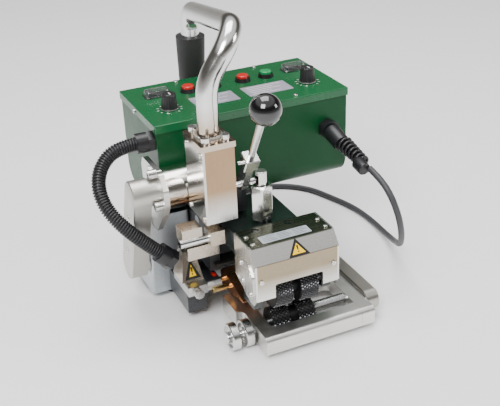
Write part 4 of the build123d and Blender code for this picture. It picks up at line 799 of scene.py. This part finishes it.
@dataclass
class StrainRelief:
    """Ringed, tapering strain relief on the box's front."""

    start: Point = (118.5, 129.7, 173.0)
    end: Point = (125.0, 56.0, 155.0)
    radius: float = 10.3

    def build(self, rings: Pattern) -> None:
        """Make the collar, the open rings and the end collar.

        Args:
            rings: Tree that puts rings on a line.
        """
        start, end = place(*self.start), place(*self.end)
        axis = end - start
        length = axis.length / MM
        rubber = BLACK_NYLON.make("relief_nylon")
        line = smooth_line([start + axis * share for share in (0.36, 0.5, 0.64, 0.82)])
        ringed = rings.run("strain_relief_rings", line, {
            "Pitch": 5.2 * MM, "Ring radius": (self.radius - 2.4) * MM, "Wire radius": 1.9 * MM,
            "Core radius": 5.0 * MM, "End scale": 0.76, "Material": rubber,
        })
        settle(ringed, "machine", ("spiral_relief",))
        shape = bmesh.new()
        plane = plane_at(start, ACROSS, axis.cross(ACROSS) * -1)
        if (plane.to_3x3() @ Vector((0, 0, 1))).dot(axis) < 0:
            plane = plane @ Matrix.Rotation(math.pi, 4, "X")
        r = self.radius
        rim = length * 0.33
        collar = [(0, 6), (0, r - 0.6), (0.8, r), (length * 0.30, r * 0.96), (rim, r * 0.88), (rim, 5)]
        add_revolved(shape, collar, plane)
        low = length * 0.80
        tail = [(low, 5), (low, r * 0.70), (low + 1, r * 0.76)]
        tail += [(length - 1, r * 0.70), (length, r * 0.62), (length, 3.4)]
        add_revolved(shape, tail, plane)
        settle(mesh_piece("strain_relief_collars", shape, rubber, True), "machine")


# ---- rollers ----------------------------------------------------------------------------------
@dataclass
class SeamRoller:
    """Roller with two knurled bands and the channel between them."""

    name: str
    height: float
    radius: float
    teeth: int
    shaft: tuple[float, float]
    step: tuple[float, float] | None = None
    axis_y: float = 23.0
    bands: tuple[tuple[float, float], ...] = ((-18.0, 3.0), (12.0, 33.0))
    columns: int = 8

    def build(self, knurl: Pattern) -> None:
        """Make the turned body and the knurled bands.

        Args:
            knurl: Tree of the knurling.
        """
        steel = Finish((0.022, 0.022, 0.024), 0.6, 0.36, 0.08, 0.2).make(self.name + "_black")
        tips = Finish((0.085, 0.085, 0.09), 0.9, 0.24, 0.05, 0.2, bump=0.01).make(self.name + "_tips")
        bright = Finish((0.50, 0.50, 0.50), 1.0, 0.24).make(self.name + "_shaft")
        plane = plane_at(place(0, self.axis_y, self.height), Vector((0, 1, 0)), Vector((0, 0, 1)))
        core = self.radius - 1.0
        shape = bmesh.new()
        for left, right in self.bands:
            profile = [(left, 5.0), *turned(left, right, core, 1.2, 1.6), (right, 5.0)]
            add_revolved(shape, profile, plane, 64)
        start, end = self.bands[0][1] - 1, self.bands[1][0] + 1
        add_revolved(shape, [(start, 5.0), (start, 10.5), (end, 10.5), (end, 5.0)], plane)
        body = mesh_piece(self.name + "_bands", shape, steel, True)
        settle(body, self.name, (self.name,))
        shape = bmesh.new()
        add_revolved(shape, turned(*self.shaft, 6, 0.8, 0.8), plane)
        if self.step:
            add_revolved(shape, turned(*self.step, 7.5, 0.6, 0.6), plane)
        settle(mesh_piece(self.name + "_shaft", shape, bright, True), self.name)
        for index, (left, right) in enumerate(self.bands):
            spacing = (right - left - 3.0) / (self.columns - 1)
            teeth = knurl.run(f"{self.name}_knurl_{index}", bpy.data.meshes.new("seed"), {
                "Columns": self.columns, "Teeth": self.teeth, "Spacing": spacing * MM,
                "Radius": (self.radius - 1.3) * MM, "Tooth width": 1.7 * MM,
                "Tooth height": 1.28 * MM,
                "Left end": tuple(place(left + 1.5, self.axis_y, self.height)), "Material": tips,
            })
            settle(teeth, self.name)


# ---- control box details ----------------------------------------------------------------------
@dataclass
class ControlBox:
    """Knobs, clear boots, label plates and plain legends on the lid."""

    top: float = 218.5
    knobs: tuple[tuple[str, float, float], ...] = (
        ("knob_left", -56.5, 181.0),
        ("knob_right", 114.5, 180.0),
    )
    rockers: tuple[tuple[str, float, float], ...] = (
        ("boot_left", -55.0, 228.0),
        ("boot_right", 121.0, 228.0),
    )
    plates: tuple[tuple[float, float, float, float], ...] = (
        (36.0, 91.0, 168.0, 199.0),
        (-28.0, 24.0, 168.0, 199.0),
    )

    def surface(self, x: float, y: float, lift: float = 0.0) -> Matrix:
        """Frame on the lid at a point.

        Args:
            x: Millimetres along the rollers.
            y: Millimetres behind the nose.
            lift: Millimetres above the lid.

        Returns:
            The frame.
        """
        return Matrix.Translation(place(x, y, self.top + lift))

    def build(self) -> None:
        """Make every detail of the lid."""
        for name, x, y in self.knobs:
            self.knob(name, x, y)
        glass = CLEAR_PLASTIC.make("clear_boot")
        for name, x, y in self.rockers:
            self.boot(name, x, y, glass)
        self.labels()

    def knob(self, name: str, x: float, y: float) -> None:
        """Make a fluted pointer knob with a silver skirt and a white line.

        Args:
            name: CAD node and body it stands for.
            x: Its place.
            y: Its place.
        """
        black = Finish((0.014, 0.014, 0.015), 0.0, 0.36, 0.05, 0.1, bump=0.05).make(name + "_black")
        plane = self.surface(x, y, 0.6)
        shape = bmesh.new()
        flutes, steps = 18, 6
        rings = [(1.2, 9.0), (2.0, 9.0), (14.5, 7.9), (17.2, 7.4), (18.0, 6.6)]
        rows = []
        for height, radius in rings:
            row = []
            for i in range(flutes * steps):
                wave = 0.35 * abs(math.sin(math.pi * i / steps)) if height > 1.9 else 0.35
                turn = 2 * math.pi * i / (flutes * steps)
                r = (radius - 0.35 + wave) * MM
                spot = Vector((r * math.cos(turn), r * math.sin(turn), height * MM))
                row.append(shape.verts.new(plane @ spot))
            rows.append(row)
        for low, high in zip(rows[:-1], rows[1:]):
            for i in range(len(low)):
                j = (i + 1) % len(low)
                shape.faces.new((low[i], low[j], high[j], high[i]))
        shape.faces.new(list(reversed(rows[0])))
        shape.faces.new(rows[-1])
        settle(mesh_piece(name + "_body", shape, black, True), name, (name,))
        shape = bmesh.new()
        add_revolved(shape, [(0, 9.0), (0, 10.3), (0.4, 10.5), (1.0, 10.4), (1.25, 9.2)], plane, 64)
        silver = Finish((0.82, 0.82, 0.81), 1.0, 0.2).make(name + "_skirt")
        settle(mesh_piece(name + "_skirt", shape, silver, True), name)
        shape = bmesh.new()
        add_prism(shape, bar(-0.55, -6.0, 1.1, 6.5), lifted(plane, 17.95), 0.12)
        settle(mesh_piece(name + "_pointer", shape, WHITE_INK.make(name + "_line"), False), name)

    def boot(self, name: str, x: float, y: float, glass: bpy.types.Material) -> None:
        """Make a clear moulded boot over a rocker switch.

        Args:
            name: Piece name.
            x: Its place.
            y: Its place.
            glass: Clear material.
        """
        shape = bmesh.new()
        rings = [(0.0, 31.0, 18.0), (1.4, 31.0, 18.0), (1.8, 28.5, 15.6), (6.0, 27.6, 14.8)]
        rings.append((7.6, 25.4, 12.6))
        inner = [(6.8, 24.6, 11.8), (5.6, 26.4, 13.6), (0.0, 27.2, 14.4)]
        rows = []
        plane = self.surface(x, y)
        for height, width, depth in rings + inner:
            outline = rounded_outline(width, depth, 3.4, 6)
            spots = [Vector((px * MM, py * MM, height * MM)) for px, py in outline]
            rows.append([shape.verts.new(plane @ spot) for spot in spots])
        rows.append(rows[0])
        count = len(rows[0])
        top = len(rings) - 1
        for index, (low, high) in enumerate(zip(rows[:-1], rows[1:])):
            if index == top:
                continue
            for i in range(count):
                j = (i + 1) % count
                shape.faces.new((low[i], low[j], high[j], high[i]))
        shape.faces.new(rows[top])
        shape.faces.new(list(reversed(rows[top + 1])))
        settle(mesh_piece(name, shape, glass, True), "machine")

    def labels(self) -> None:
        """Make the label plates, their plain lines and the ticks round the knobs."""
        plate = Finish((0.36, 0.35, 0.42), 0.2, 0.42, 0.05, 0.1, bump=0.02, specks=0.6).make("label_plate")
        shape = bmesh.new()
        ink = bmesh.new()
        for left, right, front, back in self.plates:
            centre = self.surface((left + right) / 2, (front + back) / 2)
            add_prism(shape, rounded_outline(right - left, back - front, 1.5), centre, 0.35)
            lift = lifted(centre, 0.34)
            width = (right - left) * 0.8
            for row in range(5):
                y = (back - front) * (0.34 - 0.17 * row)
                long = width * (1.0, 0.72, 0.9, 0.6, 0.8)[row]
                add_prism(ink, bar(-width / 2, y, long, 1.0), lift, 0.05)
        settle(mesh_piece("lid_label_plates", shape, plate, False), "machine")
        for _, x, y in self.knobs:
            for index in range(11):
                turn = math.radians(-60 + 30 * index)
                rim = self.surface(x, y) @ Matrix.Rotation(turn, 4, "Z")
                add_prism(ink, [(12.2, -0.3), (14.6, -0.3), (14.6, 0.3), (12.2, 0.3)], rim, 0.12)
        settle(mesh_piece("lid_legends", ink, WHITE_INK.make("lid_ink"), False), "machine")


# ---- signs and small trim ---------------------------------------------------------------------
@dataclass
class Sign:
    """Plain yellow triangle with a black border and a black bar and dot."""

    name: str
    body: str
    slot: str
    width: float
    height: float

    def build(self, plane: Matrix) -> None:
        """Make the sign on a surface.

        Args:
            plane: Frame at the middle of its base, Y towards its apex.
        """
        w, h = self.width / 2, self.height
        shape = bmesh.new()
        add_prism(shape, [(-w, 0), (w, 0), (0, h)], plane, 0.25)
        black = BLACK_INK.make(self.name + "_black")
        settle(mesh_piece(self.name + "_border", shape, black, False), self.body)
        shape = bmesh.new()
        lift = lifted(plane, 0.24)
        e = 0.13 * h
        add_prism(shape, [(-w + 1.75 * e, e), (w - 1.75 * e, e), (0, h - 2.05 * e)], lift, 0.08)
        yellow = YELLOW_SIGN.make(self.name + "_yellow")
        settle(mesh_piece(self.name + "_field", shape, yellow, False), self.body)
        shape = bmesh.new()
        lift = lifted(plane, 0.31)
        b = 0.035 * h
        foot, head = 0.34 * h, 0.60 * h
        add_prism(shape, [(-b, foot), (b, foot), (1.5 * b, head), (-1.5 * b, head)], lift, 0.06)
        spot = lift @ Matrix.Translation((0, 0.25 * h * MM, 0))
        add_prism(shape, rounded_outline(2.4 * b, 2.4 * b, 1.1 * b), spot, 0.06)
        settle(mesh_piece(self.name + "_mark", shape, black, False), self.body)


@dataclass
class Trim:
    """Weld bead, housing label, signs and the paint mark."""

    def build(self) -> None:
        """Make the small trim."""
        self.signs()
        self.housing_label()
        self.weld_bead()
        shape = bmesh.new()
        spot = Matrix.Translation(place(-50.0, 96.0, 49.0))
        add_prism(shape, rounded_outline(4.5, 9.0, 2.0), spot, 0.2)
        paint = Finish((0.60, 0.02, 0.012), 0.0, 0.3).make("paint_mark")
        settle(mesh_piece("table_paint_mark", shape, paint, False), "wedge_carriage")

    def signs(self) -> None:
        """Put the two warning triangles on the housing and the junction cover."""
        slope = Vector((0, 12.5, 15.5)).normalized()
        out = Vector((0, -15.5, 12.5)).normalized()
        base = place(7.5, -3.1, 109.0) + out * 0.05 * MM
        sign = Sign("housing_sign", "upper_arm", "housing_shell", 24.0, 19.0)
        sign.build(plane_at(base, ACROSS, slope))
        slope = Vector((0, 12.0, 31.0)).normalized()
        base = place(-74.6, 94.8, 51.0) + Vector((0, -31.0, 12.0)).normalized() * 0.1 * MM
        sign = Sign("cover_sign", "wedge_carriage", "junction_cover", 18.5, 22.5)
        sign.build(plane_at(base, ACROSS, slope))

    def housing_label(self) -> None:
        """Make the plain data plate on the roller housing."""
        centre = Matrix.Translation(place(2.0, 19.8, 124.0))
        shape = bmesh.new()
        add_prism(shape, rounded_outline(56.0, 14.5, 1.0), centre, 0.3)
        plate = Finish((0.50, 0.54, 0.58), 0.3, 0.32, 0.05, 0.1, bump=0.02).make("housing_label")
        settle(mesh_piece("housing_label_plate", shape, plate, False), "upper_arm")
        shape = bmesh.new()
        lift = lifted(centre, 0.29)
        for row in range(4):
            for part in range(3):
                x = -25.0 + 17.5 * part
                long = (15.0, 11.0, 13.0)[(row + part) % 3]
                y = 4.4 - 3.0 * row
                add_prism(shape, bar(x, y, long, 0.8), lift, 0.05)
        ink = Finish((0.10, 0.11, 0.14), 0.0, 0.4).make("label_ink")
        settle(mesh_piece("housing_label_lines", shape, ink, False), "upper_arm")

    def weld_bead(self) -> None:
        """Make the rippled weld round the handle's foot."""
        shape = bmesh.new()
        plane = Matrix.Translation(place(-55.2, 70.0, 228.0))
        around, across = 96, 8
        rows = []
        for i in range(around):
            turn = 2 * math.pi * i / around
            ripple = 2.1 + 0.22 * math.sin(24 * turn)
            centre = Vector((12.0 * math.cos(turn), 12.0 * math.sin(turn), 0.6))
            row = []
            for k in range(across):
                lean = 2 * math.pi * k / across
                reach = ripple * math.cos(lean)
                offset = Vector((reach * math.cos(turn), reach * math.sin(turn), ripple * math.sin(lean)))
                row.append(shape.verts.new(plane @ ((centre + offset) * MM)))
            rows.append(row)
        for i in range(around):
            for k in range(across):
                low, high = rows[i], rows[(i + 1) % around]
                n = (k + 1) % across
                shape.faces.new((low[k], high[k], high[n], low[n]))
        bead = mesh_piece("handle_weld_bead", shape, SATIN_ALLOY.make("weld_metal"), True)
        settle(bead, "machine")


# ---- studio -----------------------------------------------------------------------------------
@dataclass
class Studio:
    """Pale floor, soft lights and the camera."""

    focal_mm: float = 63.706
    sensor_mm: float = 36.0
    heading: float = -23.5726
    pitch: float = 27.611
    roll: float = -2.4817
    eye: Point = (-345.0, -690.0, 575.0)

    def build(self) -> None:
        """Make the floor, lights, world and camera."""
        self.floor()
        self.camera()
        self.light("key", (-1.0, -1.1, 1.6), 0.9, 42.0)
        self.light("side", (1.5, -0.9, 0.9), 0.5, 9.0)
        self.light("top", (0.1, 0.3, 2.2), 1.4, 42.0)
        world = bpy.data.worlds.new("studio")
        world.use_nodes = True
        bpy.context.scene.world = world
        nodes = Nodes(world.node_tree)
        way = nodes.add("ShaderNodeTexCoord").outputs["Generated"]
        up = nodes.add("ShaderNodeSeparateXYZ", {0: way}).outputs[2]
        share = nodes.span(up, 0.0, 0.22, 0.0, 1.0)
        low = nodes.mix(share, (0.55, 0.53, 0.50, 1.0), (0.10, 0.095, 0.085, 1.0))
        sky = nodes.mix(nodes.span(up, 0.50, 0.68, 0.0, 1.0), low, (1.0, 1.0, 1.0, 1.0))
        back = world.node_tree.nodes["Background"]
        nodes.put(back.inputs[0], sky)
        back.inputs[1].default_value = 0.9

    def floor(self) -> None:
        """Make the pale floor."""
        shape = bmesh.new()
        bmesh.ops.create_grid(shape, x_segments=2, y_segments=2, size=FLOOR_HALF_WIDTH)
        finish = Finish((0.95, 0.95, 0.95), 0.0, 0.7, 0.03, 0.02, bump=0.01, specular=0.2)
        floor = mesh_piece("studio_floor", shape, finish.make("pale_floor"), False)

    def light(self, name: str, where: Point, size: float, power: float) -> None:
        """Make an area light that faces the machine.

        Args:
            name: Light name.
            where: Its place in metres.
            size: Side in metres.
            power: Watts.
        """
        data = bpy.data.lights.new(name, "AREA")
        data.size = size
        data.energy = power
        lamp = bpy.data.objects.new(name, data)
        lamp.location = where
        lamp.rotation_euler = (Vector((0, 0, 0.12)) - Vector(where)).to_track_quat("-Z", "Y").to_euler()
        bpy.context.scene.collection.objects.link(lamp)

    def camera(self) -> None:
        """Make the camera and set it."""
        data = bpy.data.cameras.new("camera")
        data.lens = self.focal_mm
        data.sensor_width = self.sensor_mm
        data.clip_start = 0.01
        camera = bpy.data.objects.new("camera", data)
        camera.location = place(*self.eye)
        turn = Matrix.Rotation(math.radians(self.heading), 3, "Z")
        tip = Matrix.Rotation(math.radians(90 - self.pitch), 3, "X")
        lean = Matrix.Rotation(math.radians(self.roll), 3, "Z")
        camera.rotation_euler = (turn @ tip @ lean).to_euler()
        bpy.context.scene.collection.objects.link(camera)
        bpy.context.scene.camera = camera


def dress_nodes() -> None:
    """Give every shown CAD node its finish."""
    for name, finish in CAD_FINISHES.items():
        node = NODES[name]
        material = finish.make("cad_" + name)
        node.data.materials.clear()
        node.data.materials.append(material)


def main() -> None:
    """Build the looks in order."""
    logging.basicConfig(level=logging.INFO, format="%(message)s")
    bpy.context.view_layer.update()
    Studio().build()
    MainsCord().build()
    dress_nodes()
    rings, knurl = rings_pattern(), knurl_pattern()
    Conduit().build(rings)
    StrainRelief().build(rings)
    SeamRoller("lower_roller", 20.0, 16.0, 28, (-29.5, 86.9), (33.0, 74.0)).build(knurl)
    SeamRoller("upper_roller", 62.5, 22.0, 39, (-38.9, 49.9)).build(knurl)
    ControlBox().build()
    Trim().build()


if __name__ == "__main__":
    main()
